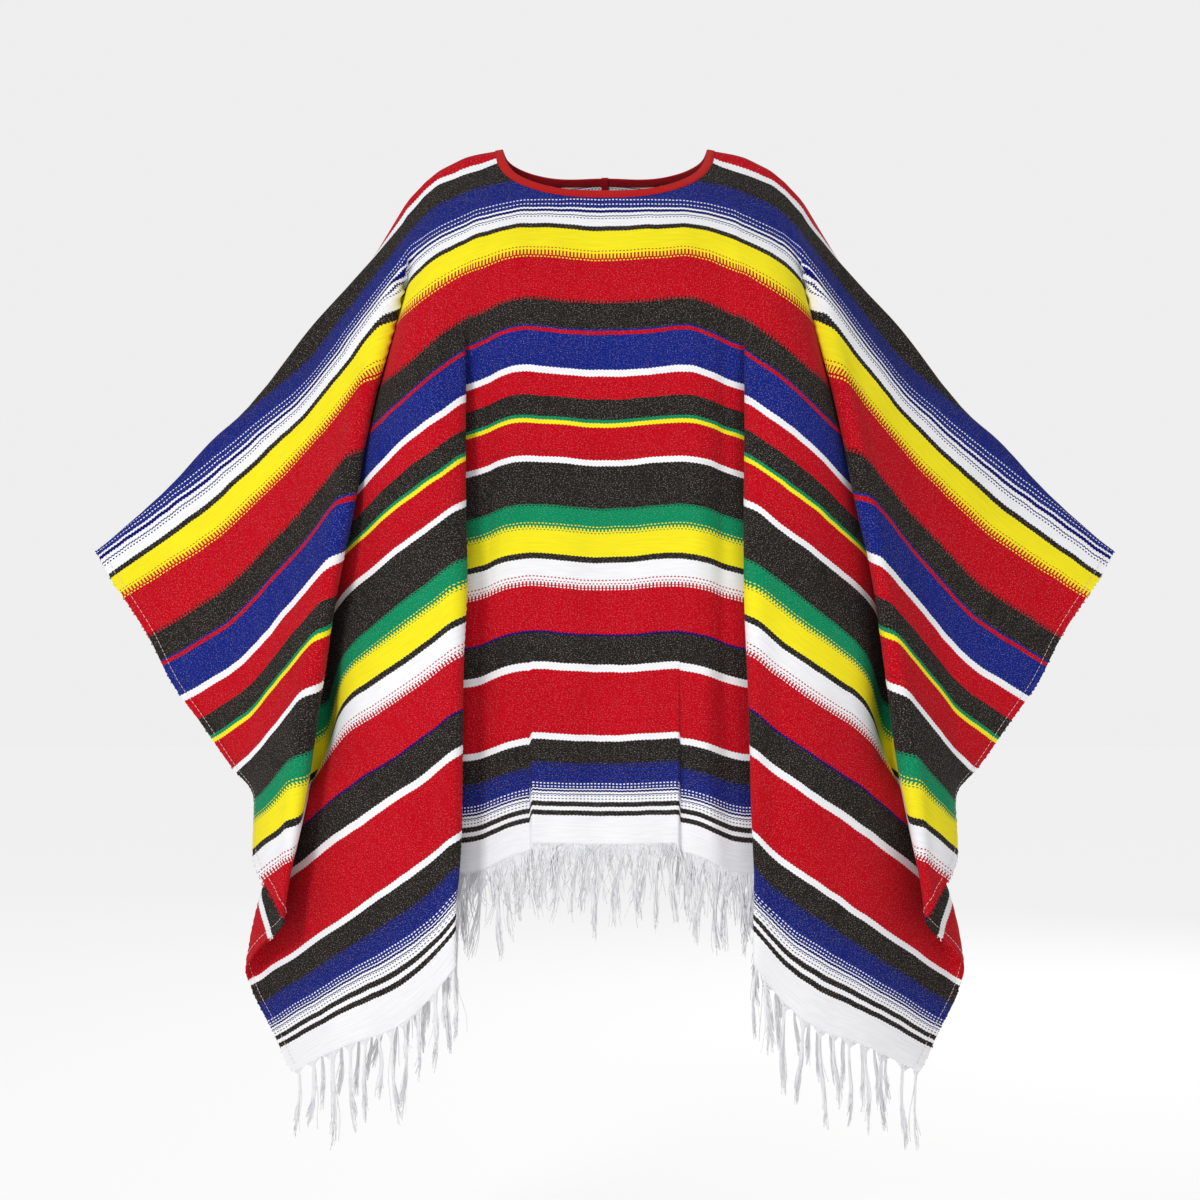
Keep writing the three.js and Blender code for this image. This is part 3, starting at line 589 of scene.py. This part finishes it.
def set_corner_normals(piece, vertex_normals, surface_faces):
    """Smooth normals on the two faces of the cloth and plain ones on its rim."""
    mesh = piece.data
    corners = np.empty(len(mesh.loops), int)
    mesh.loops.foreach_get("vertex_index", corners)
    normals = vertex_normals[corners]
    face_normals = np.empty(len(mesh.polygons) * 3)
    mesh.polygons.foreach_get("normal", face_normals)
    face_of_corner = np.repeat(np.arange(len(mesh.polygons)), 4)
    rim = face_of_corner >= surface_faces
    normals[rim] = face_normals.reshape(-1, 3)[face_of_corner[rim]]
    mesh.normals_split_custom_set(normals.tolist())


def tubes(paths, radii, sides):
    """Many thin tubes as one mesh. paths is (count, points, 3), radii (count, points)."""
    count, points, _ = paths.shape
    forward = unit(np.gradient(paths, axis=1))
    reference = np.where(np.abs(forward[..., 1:2]) < 0.9, (0.0, 1.0, 0.0), (1.0, 0.0, 0.0))
    first = unit(np.cross(forward, reference))
    second = np.cross(forward, first)
    angle = np.arange(sides) * 2 * math.pi / sides
    ring = (
        first[:, :, None, :] * np.cos(angle)[None, None, :, None]
        + second[:, :, None, :] * np.sin(angle)[None, None, :, None]
    )
    vertices = paths[:, :, None, :] + ring * radii[:, :, None, None]
    index = np.arange(count * points * sides).reshape(count, points, sides)
    here, below = index[:, :-1], index[:, 1:]
    quads = np.stack([here, np.roll(here, -1, 2), np.roll(below, -1, 2), below], -1)
    faces = quads.reshape(-1, 4).tolist()
    faces += index[:, 0, ::-1].tolist()
    faces += index[:, -1, :].tolist()
    return vertices.reshape(-1, 3), faces


def add_tubes(name, paths, radii, sides, material, flat=None):
    vertices, faces = tubes(paths, radii, sides)
    piece = new_mesh(name, vertices, faces, material)
    if flat is not None:
        set_cut_uv(piece, np.repeat(flat.reshape(-1, 2), sides, axis=0))
    return piece


def cloth_normal_at(s, t):
    step = 2.0
    across = cloth_at(s + step, t) - cloth_at(s - step, t)
    down = cloth_at(s, t + step) - cloth_at(s, t - step)
    return unit(np.cross(down, across))


def surface_at(s, t):
    """Places and normals for single points of the draped cloth, creases included."""
    normal = cloth_normal_at(s, t)
    place = cloth_at(s, t) + normal * relief(s, t)[:, None]
    lap = small_lap(s, t)
    return place + np.where(t[:, None] > 0, lap, 0.0), normal


def in_side_panel(s):
    """0 in the middle of a hem and 1 in its side panels, where tufts are wider and looser."""
    return smoothstep(380, 620, abs(s))


def tuft_plan(random):
    """Tufts along a hem, as each one's two ends in s."""
    tufts = []
    s = -HALF_WIDTH + 2
    while s < HALF_WIDTH - 4:
        width = TUFT_WIDTH + (SIDE_TUFT_WIDTH - TUFT_WIDTH) * in_side_panel(s)
        end = min(s + width * random.uniform(*TUFT_WIDTH_VARIES), HALF_WIDTH - 2)
        tufts.append((s, end))
        s = end
    return tufts


def crossing_threads(side, random):
    """Short threads that run slantwise under the hem, from one tuft into the next."""
    count = CROSS_THREADS
    start = random.normal(0, CROSS_SPREAD, count).clip(-HALF_WIDTH + 20, HALF_WIDTH - 20)
    end = (start + random.normal(0, CROSS_SLANT, count)).clip(-HALF_WIDTH + 4, HALF_WIDTH - 4)
    edge = np.full(count, side * (HALF_LENGTH - 1.0))
    root, _ = surface_at(start, edge)
    over, _ = surface_at(end, edge)
    f = np.linspace(0, 1, THREAD_STEPS)[None, :, None]
    drop = random.uniform(*CROSS_DROP, (count, 1)) * np.array([[0.0, 0.0, -1.0]])
    bow = random.normal(0, CROSS_BOW, (count, 1)) * np.array([[1.0, 0.3, 0.0]])
    straight = root[:, None] + (over - root)[:, None] * f
    return straight + drop[:, None] * f ** 0.85 + bow[:, None] * np.sin(math.pi * f)


def fringe(name, side, material, random):
    """Threads that hang from one hem, gathered into wavy tufts with ragged ends."""
    steps = np.linspace(0, 1, THREAD_STEPS)
    paths = [crossing_threads(side, random)]
    for start, end in tuft_plan(random):
        apart = in_side_panel(start)
        count = max(6, round((end - start) / random.uniform(*THREAD_SPACING)))
        s = np.linspace(start, end, count) + random.uniform(-0.3, 0.3, count)
        root, _ = surface_at(s, np.full(count, side * (HALF_LENGTH - 1.0)))
        centre = root.mean(axis=0)
        pinch = random.uniform(*TUFT_PINCH) * (1 - 0.72 * apart)
        waist = random.uniform(*TUFT_WAIST) * (1 - 0.55 * apart)
        splay = random.uniform(*TUFT_SPLAY) * (1 - 0.75 * apart)
        sway = np.array([random.normal(0, 8 - 3 * apart), random.normal(0, 2), 0.0])
        length = FRINGE_LENGTH * random.uniform(*TUFT_LENGTH_VARIES)
        length = length * random.uniform(*THREAD_LENGTH_VARIES, count)
        stray = random.normal(0, 1.0, (count, 3)) * (1.1, 0.7, 0.0)
        loose = random.random(count) < LOOSE_SHARE * (1 - 0.6 * apart)
        stray[loose] *= (7.0, 2.0, 0.0)
        turn, wave = random.uniform(0, 6.28), random.uniform(0, 6.28, count)
        tuft = np.zeros((count, THREAD_STEPS, 3))
        for j, f in enumerate(steps):
            gathered = smoothstep(0.0, 1.0, min(f / pinch, 1.0))
            spread = 1 - (1 - waist) * gathered + splay * smoothstep(0.45, 1.0, f)
            tuft[:, j] = centre + (root - centre) * spread + sway * f ** 1.5 + stray * f ** 1.3
            tuft[:, j, 0] += 1.3 * f * np.sin(9.0 * f + wave) + 3.0 * f * math.sin(5.0 * f + turn)
            tuft[:, j, 1] += 1.2 * f * math.sin(6.0 * f + 2 * turn)
            tuft[:, j, 2] = root[:, 2] + (centre[2] - root[:, 2]) * 0.6 * gathered - length * f
        paths.append(tuft)
    paths = np.concatenate(paths)
    taper = np.linspace(1.0, THREAD_TAPER, THREAD_STEPS)[None, :]
    radii = THREAD_RADIUS * random.uniform(0.7, 1.25, (len(paths), 1)) * taper
    return add_tubes(name, paths, radii, 3, material)


def hem_cord(name, side, material):
    """The row of knots along a hem."""
    s = np.linspace(-HALF_WIDTH + 0.5, HALF_WIDTH - 0.5, KNOT_POINTS)
    t = np.full(KNOT_POINTS, side * (HALF_LENGTH + 0.6))
    place, normal = surface_at(s, t)
    place = place + normal * (0.35 * np.sin(s * 1.5))[:, None]
    radii = KNOT_RADIUS + KNOT_SWELL * np.abs(np.sin(s * math.pi / KNOT_PITCH))
    return add_tubes(name, place[None], radii[None], 5, material)


def edge_loops(name, side, material, random):
    """Little loops of weft that stand out of the two side edges."""
    rows = []
    for hand in (-1, 1):
        t = 6.0
        while t < HALF_LENGTH - 4:
            ragged = smoothstep(360, 420, t) * (1 - smoothstep(640, 700, t))
            out = random.uniform(*LOOP_OUT) + ragged * random.uniform(*LOOP_RAGGED_OUT)
            rows.append((hand, t, random.uniform(*LOOP_LENGTH) + ragged, out))
            t += random.uniform(*LOOP_SPACING)
    hand, start, long, out = np.array(rows).T
    steps = np.linspace(0, math.pi, 6)
    s = hand[:, None] * (HALF_WIDTH - 0.6 + out[:, None] * np.sin(steps))
    t = side * (start[:, None] + long[:, None] * (1 - np.cos(steps)) / 2)
    place, normal = surface_at(s.ravel(), t.ravel())
    lift = np.repeat(random.uniform(-1.0, 1.0, len(hand)), len(steps))
    place = place + normal * lift[:, None] * LOOP_LIFT
    paths = place.reshape(len(hand), len(steps), 3)
    radii = np.full(paths.shape[:2], LOOP_RADIUS)
    flat = np.stack([s, t], -1)
    return add_tubes(name, paths, radii, 4, material, flat)


def hem_stitches(name, side, material):
    """The line of stitches that holds each turned side hem, on both faces of the cloth."""
    start = np.arange(6.0, HALF_LENGTH - 6, STITCH_PITCH)
    groups = []
    for hand in (-1, 1):
        for face in (-1, 1):
            steps = np.linspace(0, 1, 4)
            t = side * (start[:, None] + STITCH_LENGTH * steps)
            s = np.full(t.shape, hand * (HALF_WIDTH - HEM_WIDTH + STITCH_INSET))
            place, normal = surface_at(s.ravel(), t.ravel())
            height = HEM_WALL / 2 + STITCH_RISE * np.sin(math.pi * steps)
            height = height[None, :].repeat(len(start), 0)
            place = place + face * normal * height.reshape(-1, 1)
            groups.append(place.reshape(len(start), len(steps), 3))
    paths = np.concatenate(groups)
    radii = np.full(paths.shape[:2], STITCH_RADIUS)
    return add_tubes(name, paths, radii, 4, material)


def neck_stations(count):
    """Places round the neck hole's edge, and the flat direction away from the hole."""
    angle = np.linspace(0, 2 * math.pi, count, endpoint=False) + math.pi / count
    cos, sin = np.cos(angle), np.sin(angle)
    s = NECK_HALF_WIDTH * np.sign(cos) * np.abs(cos) ** (2 / NECK_POWER)
    t = NECK_DEPTH * np.sign(sin) * np.abs(sin) ** (2 / NECK_POWER)
    away_s = np.sign(cos) * np.abs(s / NECK_HALF_WIDTH) ** (NECK_POWER - 1) / NECK_HALF_WIDTH
    away_t = np.sign(sin) * np.abs(t / NECK_DEPTH) ** (NECK_POWER - 1) / NECK_DEPTH
    return s, t, unit(np.stack([away_s, away_t], -1))


def tape_profile(clear, thick, inside, outside):
    """A folded tape's section, as distances from the edge and heights off the cloth's middle."""
    nose = np.linspace(-math.pi / 2, math.pi / 2, 9)
    far = clear + thick
    middle, belly, bulge = (clear + far) / 2, far * 1.06, 0.25
    round_outer = [(-far * 0.8 * math.cos(a) - 0.3, far * math.sin(a)) for a in nose]
    round_inner = [(-clear * 0.8 * math.cos(a) - 0.3, clear * math.sin(a)) for a in nose[::-1]]
    lower = [(inside, -clear), (inside + bulge, -middle), (inside, -far), (inside * 0.5, -belly)]
    upper = [(outside * 0.5, belly), (outside, far), (outside + bulge, middle), (outside, clear)]
    return np.array(lower + round_outer + upper + round_inner)


def swept_tape(name, stations, profile, closed, material):
    """A tape swept along stations of the neck's edge."""
    s0, t0, away = stations
    count, size = len(s0), len(profile)
    s = s0[:, None] + profile[None, :, 0] * away[:, :1]
    t = t0[:, None] + profile[None, :, 0] * away[:, 1:]
    place, normal = cloth_at(s.ravel(), t.ravel()), cloth_normal_at(s.ravel(), t.ravel())
    height = np.repeat(profile[None, :, 1], count, 0).reshape(-1, 1)
    vertices = place + normal * height
    index = np.arange(count * size).reshape(count, size)
    following = np.roll(index, -1, axis=0) if closed else index[1:]
    here = index if closed else index[:-1]
    quads = np.stack([here, following, np.roll(following, -1, 1), np.roll(here, -1, 1)], -1)
    faces = quads.reshape(-1, 4).tolist()
    if not closed:
        faces += [index[0].tolist(), index[-1, ::-1].tolist()]
    piece = new_mesh(name, vertices, faces, material)
    inner_line = place.reshape(count, size, 3)[:, 0]
    steps = np.linalg.norm(np.diff(inner_line, axis=0, prepend=inner_line[:1]), axis=1)
    along = np.cumsum(steps)[:, None].repeat(size, 1)
    across = np.sign(profile[:, 1])[None, :] * (profile[None, :, 0] + 4.0)
    set_cut_uv(piece, np.stack([along, across.repeat(count, 0)], -1).reshape(-1, 2))
    turn_faces_outward(piece)
    return piece


def turn_faces_outward(piece):
    work = bmesh.new()
    work.from_mesh(piece.data)
    bmesh.ops.recalc_face_normals(work, faces=work.faces)
    work.to_mesh(piece.data)
    work.free()


def linear(byte):
    share = byte / 255
    return share / 12.92 if share <= 0.04045 else ((share + 0.055) / 1.055) ** 2.4


def paint(rgb, alpha=1.0):
    return tuple(linear(v) for v in rgb) + (alpha,)


class Tree:
    """Shorthand for the node tree of one material."""

    def __init__(self, name):
        self.material = bpy.data.materials.new(name)
        self.material.use_nodes = True
        self.nodes = self.material.node_tree.nodes
        self.links = self.material.node_tree.links
        self.shader = self.nodes["Principled BSDF"]

    def feed(self, socket, value):
        if isinstance(value, bpy.types.NodeSocket):
            self.links.new(value, socket)
        else:
            socket.default_value = value

    def maths(self, operation, *values):
        node = self.nodes.new("ShaderNodeMath")
        node.operation = operation
        for socket, value in zip(node.inputs, values):
            self.feed(socket, value)
        return node.outputs[0]

    def mix(self, factor, a, b, blend="MIX"):
        node = self.nodes.new("ShaderNodeMix")
        node.data_type = "RGBA"
        node.blend_type = blend
        self.feed(node.inputs[0], factor)
        self.feed(node.inputs[6], a)
        self.feed(node.inputs[7], b)
        return node.outputs[2]

    def times(self, a, b):
        return self.maths("MULTIPLY", a, b)

    def mix_value(self, factor, a, b):
        node = self.nodes.new("ShaderNodeMix")
        self.feed(node.inputs[0], factor)
        self.feed(node.inputs[2], a)
        self.feed(node.inputs[3], b)
        return node.outputs[0]

    def cut(self):
        """s and t in millimetres, from the UV map."""
        uv = self.nodes.new("ShaderNodeUVMap")
        uv.uv_map = "cut"
        apart = self.nodes.new("ShaderNodeSeparateXYZ")
        self.links.new(uv.outputs[0], apart.inputs[0])
        return self.times(apart.outputs[0], 1 / MM), self.times(apart.outputs[1], 1 / MM)

    def noise(self, x, y, z=0.0, detail=2.0):
        join = self.nodes.new("ShaderNodeCombineXYZ")
        for socket, value in zip(join.inputs, (x, y, z)):
            self.feed(socket, value)
        node = self.nodes.new("ShaderNodeTexNoise")
        node.inputs["Scale"].default_value = 1.0
        node.inputs["Detail"].default_value = detail
        self.links.new(join.outputs[0], node.inputs["Vector"])
        return node.outputs[0]

    def steps(self, factor, stops):
        """Colour and alpha that change at once from stop to stop."""
        node = self.nodes.new("ShaderNodeValToRGB")
        node.color_ramp.interpolation = "CONSTANT"
        elements = node.color_ramp.elements
        while len(elements) < len(stops):
            elements.new(1.0)
        for element, (position, value) in zip(elements, stops):
            element.position = position
            element.color = value
        self.feed(node.inputs[0], factor)
        return node.outputs[0], node.outputs[1]

    def between(self, value, low, high):
        """0 below low, 1 above high and smooth between them, or the other way round."""
        node = self.nodes.new("ShaderNodeMapRange")
        node.interpolation_type = "SMOOTHSTEP"
        self.feed(node.inputs[0], value)
        node.inputs[1].default_value = low
        node.inputs[2].default_value = high
        return node.outputs[0]

    def shaded(self, colour, tone):
        """The colour times a grey tone."""
        grey = self.nodes.new("ShaderNodeCombineColor")
        for socket in grey.inputs:
            self.feed(socket, tone)
        return self.mix(1.0, colour, grey.outputs[0], "MULTIPLY")

    def finish(self, colour, values):
        self.feed(self.shader.inputs["Base Color"], colour)
        for name, value in values.items():
            self.shader.inputs[name].default_value = value

    def bump(self, height, distance, strength):
        node = self.nodes.new("ShaderNodeBump")
        node.inputs["Strength"].default_value = strength
        node.inputs["Distance"].default_value = distance
        self.links.new(height, node.inputs["Height"])
        self.links.new(node.outputs[0], self.shader.inputs["Normal"])


def stripe_colour(tree, t):
    """The colour of the stripes at t, from three ramps, with the fleck strength as alpha."""
    limits = [0.0] + RAMP_BREAKS + [STRIPES[-1][0]]
    result = None
    for low, high in zip(limits[:-1], limits[1:]):
        stops = []
        start = 0.0
        for end, name in STRIPES:
            if end > low and start < high:
                *rgb, fleck = COLOURS[name]
                stops.append(((max(start, low) - low) / (high - low), paint(rgb, fleck)))
            start = end
        share = tree.maths("DIVIDE", tree.maths("SUBTRACT", t, low), high - low)
        shade, fleck = tree.steps(share, stops)
        if result:
            past = tree.maths("GREATER_THAN", t, low)
            shade = tree.mix(past, result[0], shade)
            fleck = tree.mix_value(past, result[1], fleck)
        result = (shade, fleck)
    return result


def stripe_place(tree, s, t):
    """How far down the stripes a place lies, whichever side of the shoulder line it is on."""
    down = tree.maths("ADD", tree.maths("ABSOLUTE", tree.maths("SUBTRACT", t, MIRROR_T)), MIRROR_T)
    comes, goes = tree.between(t, *EARLY_COMES), tree.between(t, *EARLY_GOES)
    down = tree.maths("ADD", down, tree.times(tree.maths("SUBTRACT", comes, goes), BACK_EARLY))
    wander = tree.noise(tree.times(s, 0.022), tree.times(t, 0.006))
    return tree.maths("ADD", down, tree.times(tree.maths("SUBTRACT", wander, 0.5), STRIPE_SAG))


def woven_colour(tree, s, down):
    """The stripes with their teeth, fine lines and rows of dots, and the strength of the flecks."""
    dot = tree.maths("LESS_THAN", tree.maths("FRACT", tree.maths("DIVIDE", s, DOT_PITCH)), 0.5)
    gap = tree.maths("SUBTRACT", 1.0, dot)
    tooth = tree.maths("SUBTRACT", tree.times(dot, 2.0), 1.0)
    reach = PLAIN_EDGE
    for middle, half, depth in TOOTHED:
        near = tree.maths("COMPARE", down, middle, half)
        reach = tree.maths("ADD", reach, tree.times(near, depth - PLAIN_EDGE))
    shade, fleck = stripe_colour(tree, tree.maths("ADD", down, tree.times(tooth, reach)))
    for middle, half in FINE_LINES:
        line = tree.times(tree.maths("COMPARE", down, middle, half), FINE_LINE_SHADE)
        shade = tree.mix(line, shade, paint(COLOURS["black"][:3]))
    for middle, half, name, between_teeth in DOTTED:
        row = tree.maths("COMPARE", down, middle, half)
        mark = tree.times(row, gap if between_teeth else dot)
        shade = tree.mix(mark, shade, paint(COLOURS[name][:3]))
    return shade, fleck


def cloth_material():
    tree = Tree("poncho_cloth")
    s, t = tree.cut()
    shade, fleck = woven_colour(tree, s, stripe_place(tree, s, t))
    fine = tree.noise(tree.times(s, 0.6), t)
    broad = tree.noise(tree.times(s, 0.06), tree.times(t, 0.02), z=4.0)
    speck = tree.times(tree.between(fine, 0.57, 0.68), tree.between(broad, 0.1, 0.5))
    shade = tree.mix(tree.times(speck, fleck), shade, FLECK_COLOUR)
    streak = tree.noise(tree.times(s, 0.03), tree.times(t, 0.55))
    patch = tree.noise(tree.times(s, 0.011), tree.times(t, 0.011))
    tone = tree.maths("ADD", tree.times(streak, 0.22), tree.times(patch, 0.16))
    tree.finish(tree.shaded(shade, tree.maths("ADD", tone, 0.81)), CLOTH_FINISH)
    warp = tree.maths("SINE", tree.times(s, 2 * math.pi / (DOT_PITCH / 2)))
    weft = tree.maths("SINE", tree.times(t, 2 * math.pi / WEFT_PITCH))
    weave = tree.maths("ADD", tree.times(warp, weft), tree.times(weft, 0.5))
    nap = tree.noise(tree.times(s, 0.9), tree.times(t, 0.9), detail=4.0)
    tree.bump(tree.maths("ADD", tree.times(weave, 0.35), tree.times(nap, 0.5)), 0.0003, 0.6)
    return tree.material


def binding_material():
    tree = Tree("neck_tape")
    along, across = tree.cut()
    rib = tree.maths("SINE", tree.times(along, 2 * math.pi / RIB_PITCH))
    selvedge = tree.maths("COMPARE", across, 11.2, 0.9)
    fibre = tree.noise(tree.times(along, 1.6), tree.times(across, 0.5), detail=3.0)
    inner = tree.maths("LESS_THAN", across, 0.0)
    tone = tree.maths("ADD", tree.times(fibre, 0.34), 0.80)
    tone = tree.maths("SUBTRACT", tone, tree.times(selvedge, 0.10))
    # The tape's inner leg, inside the cloth, gets a darker red: painted shade.
    shade = tree.mix(inner, paint(TAPE_OUTSIDE), paint(TAPE_INSIDE_PAINTED_SHADE))
    tree.finish(tree.shaded(shade, tone), TAPE_FINISH)
    tree.bump(tree.maths("ADD", rib, tree.times(fibre, 0.8)), 0.0003, 0.8)
    return tree.material


def thread_material(name, rgb):
    tree = Tree(name)
    geometry = tree.nodes.new("ShaderNodeNewGeometry")
    apart = tree.nodes.new("ShaderNodeSeparateXYZ")
    tree.links.new(geometry.outputs["Position"], apart.inputs[0])
    speck = tree.noise(*(tree.times(output, 260.0) for output in apart.outputs))
    tint = paint(rgb)
    dull = tuple(0.9 * v for v in tint[:3]) + (1.0,)
    tree.finish(tree.mix(speck, dull, tint), THREAD_FINISH)
    tree.bump(speck, 0.0002, 0.5)
    return tree.material


def make_poncho():
    """Each half of the cloth with its fringe and stitches, then the neck tape and its lap."""
    random = np.random.default_rng(SEED)
    woven = cloth_material()
    tape = binding_material()
    thread = thread_material("fringe_thread", FRINGE_COLOUR)
    stitch = thread_material("hem_stitch", STITCH_COLOUR)
    grids = {1: cloth_grid(1), -1: cloth_grid(-1)}
    columns = grids[1][0][0]
    both = unit(grids[1][3][0] + grids[-1][3][0])
    open_edge = (np.abs(columns) < NECK_HALF_WIDTH - 1e-6)[:, None]
    for side, word in ((1, "front"), (-1, "back")):
        top = np.where(open_edge, grids[side][3][0], both)
        half = cloth_half(f"cloth_{word}", word, side, woven, grids[side], top)
        strands = fringe(f"fringe_threads_{word}", side, thread, random)
        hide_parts(f"fringe_{word}")
        knots = hem_cord(f"hem_knots_{word}", side, thread)
        loops = edge_loops(f"edge_loops_{word}", side, woven, random)
        sewing = hem_stitches(f"hem_stitches_{word}", side, stitch)
    clear = WALL / 2 + TAPE_CLEARANCE
    profile = tape_profile(clear, BINDING_TAPE, BINDING_WIDTH, BINDING_WIDTH)
    binding = swept_tape("neck_tape", neck_stations(TAPE_STATIONS), profile, True, tape)
    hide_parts("neck_binding")
    s = np.linspace(-LAP_WIDTH / 2, LAP_WIDTH / 2, 9)
    stations = (s, np.full(len(s), -NECK_DEPTH), np.repeat([[0.0, -1.0]], len(s), 0))
    clear += BINDING_TAPE + LAP_CLEARANCE
    profile = tape_profile(clear, BINDING_TAPE, LAP_TAIL, BINDING_WIDTH + 1)
    lap = swept_tape("neck_tape_lap", stations, profile, False, tape)
    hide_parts("binding_lap")


# Studio: the camera stands level before the poncho, and the floor is at the wearer's feet
CAMERA_DISTANCE = 3.6
CAMERA_HEIGHT = -0.562
CAMERA_X = -0.00625
FRAME_WIDTH = 1.5
FLOOR_Z = -1.46
FLOOR_REACH = 14.0
FLOOR_TONE = 0.25
FLOOR_FINISH = {
    "Roughness": 0.95, "Emission Color": (1.0, 1.0, 1.0, 1.0), "Emission Strength": 0.77,
}
WORLD_LIGHT = 0.32
WORLD_SEEN = 0.86

# Square lights, as name, place, size and power. All of them point at one place.
LIGHT_TARGET = (0.0, 0.0, -0.55)
LIGHTS = [
    ("key", (-1.9, -3.3, 1.1), 0.8, 72.0),
    ("fill", (2.2, -3.2, -0.3), 2.4, 11.0),
    ("low", (0.0, -3.0, -1.15), 1.4, 4.0),
    ("overhead", (0.0, 0.4, 2.6), 2.2, 10.0),
    ("behind", (1.8, 3.4, 1.0), 1.2, 60.0),
]


def make_floor():
    """A pale floor that glows a little, so that it is about as bright as the background."""
    mesh = bpy.data.meshes.new("studio_floor")
    signs = ((-1, -1), (1, -1), (1, 1), (-1, 1))
    corners = [(x * FLOOR_REACH, y * FLOOR_REACH, FLOOR_Z) for x, y in signs]
    mesh.from_pydata(corners, [], [(0, 1, 2, 3)])
    tree = Tree("studio_white")
    tree.finish((FLOOR_TONE, FLOOR_TONE, FLOOR_TONE, 1.0), FLOOR_FINISH)
    mesh.materials.append(tree.material)
    floor = bpy.data.objects.new("studio_floor", mesh)
    bpy.context.scene.collection.objects.link(floor)


def make_world():
    """Soft white light from all round, seen by the camera as a white background."""
    world = bpy.data.worlds.new("studio")
    world.use_nodes = True
    nodes, links = world.node_tree.nodes, world.node_tree.links
    background = nodes["Background"]
    background.inputs[0].default_value = (1.0, 1.0, 1.0, 1.0)
    path = nodes.new("ShaderNodeLightPath")
    strength = nodes.new("ShaderNodeMapRange")
    strength.inputs[3].default_value = WORLD_LIGHT
    strength.inputs[4].default_value = WORLD_SEEN
    links.new(path.outputs["Is Camera Ray"], strength.inputs[0])
    links.new(strength.outputs[0], background.inputs[1])
    bpy.context.scene.world = world


def make_light(name, location, size, power):
    data = bpy.data.lights.new(name, "AREA")
    data.shape = "SQUARE"
    data.size = size
    data.energy = power
    lamp = bpy.data.objects.new(name, data)
    lamp.location = location
    x, y, z = np.subtract(LIGHT_TARGET, location)
    lamp.rotation_euler = (math.atan2(math.hypot(x, y), -z), 0.0, math.atan2(-x, y))
    bpy.context.scene.collection.objects.link(lamp)


def make_studio():
    make_floor()
    make_world()
    for light in LIGHTS:
        make_light(*light)
    bpy.context.scene.view_settings.view_transform = "Standard"
    data = bpy.data.cameras.new("camera")
    data.sensor_fit = "HORIZONTAL"
    data.angle = 2 * math.atan(FRAME_WIDTH / 2 / CAMERA_DISTANCE)
    camera = bpy.data.objects.new("camera", data)
    camera.location = (CAMERA_X, -CAMERA_DISTANCE, CAMERA_HEIGHT)
    camera.rotation_euler = (math.pi / 2, 0.0, 0.0)
    bpy.context.scene.collection.objects.link(camera)
    bpy.context.scene.camera = camera


make_studio()
make_poncho()
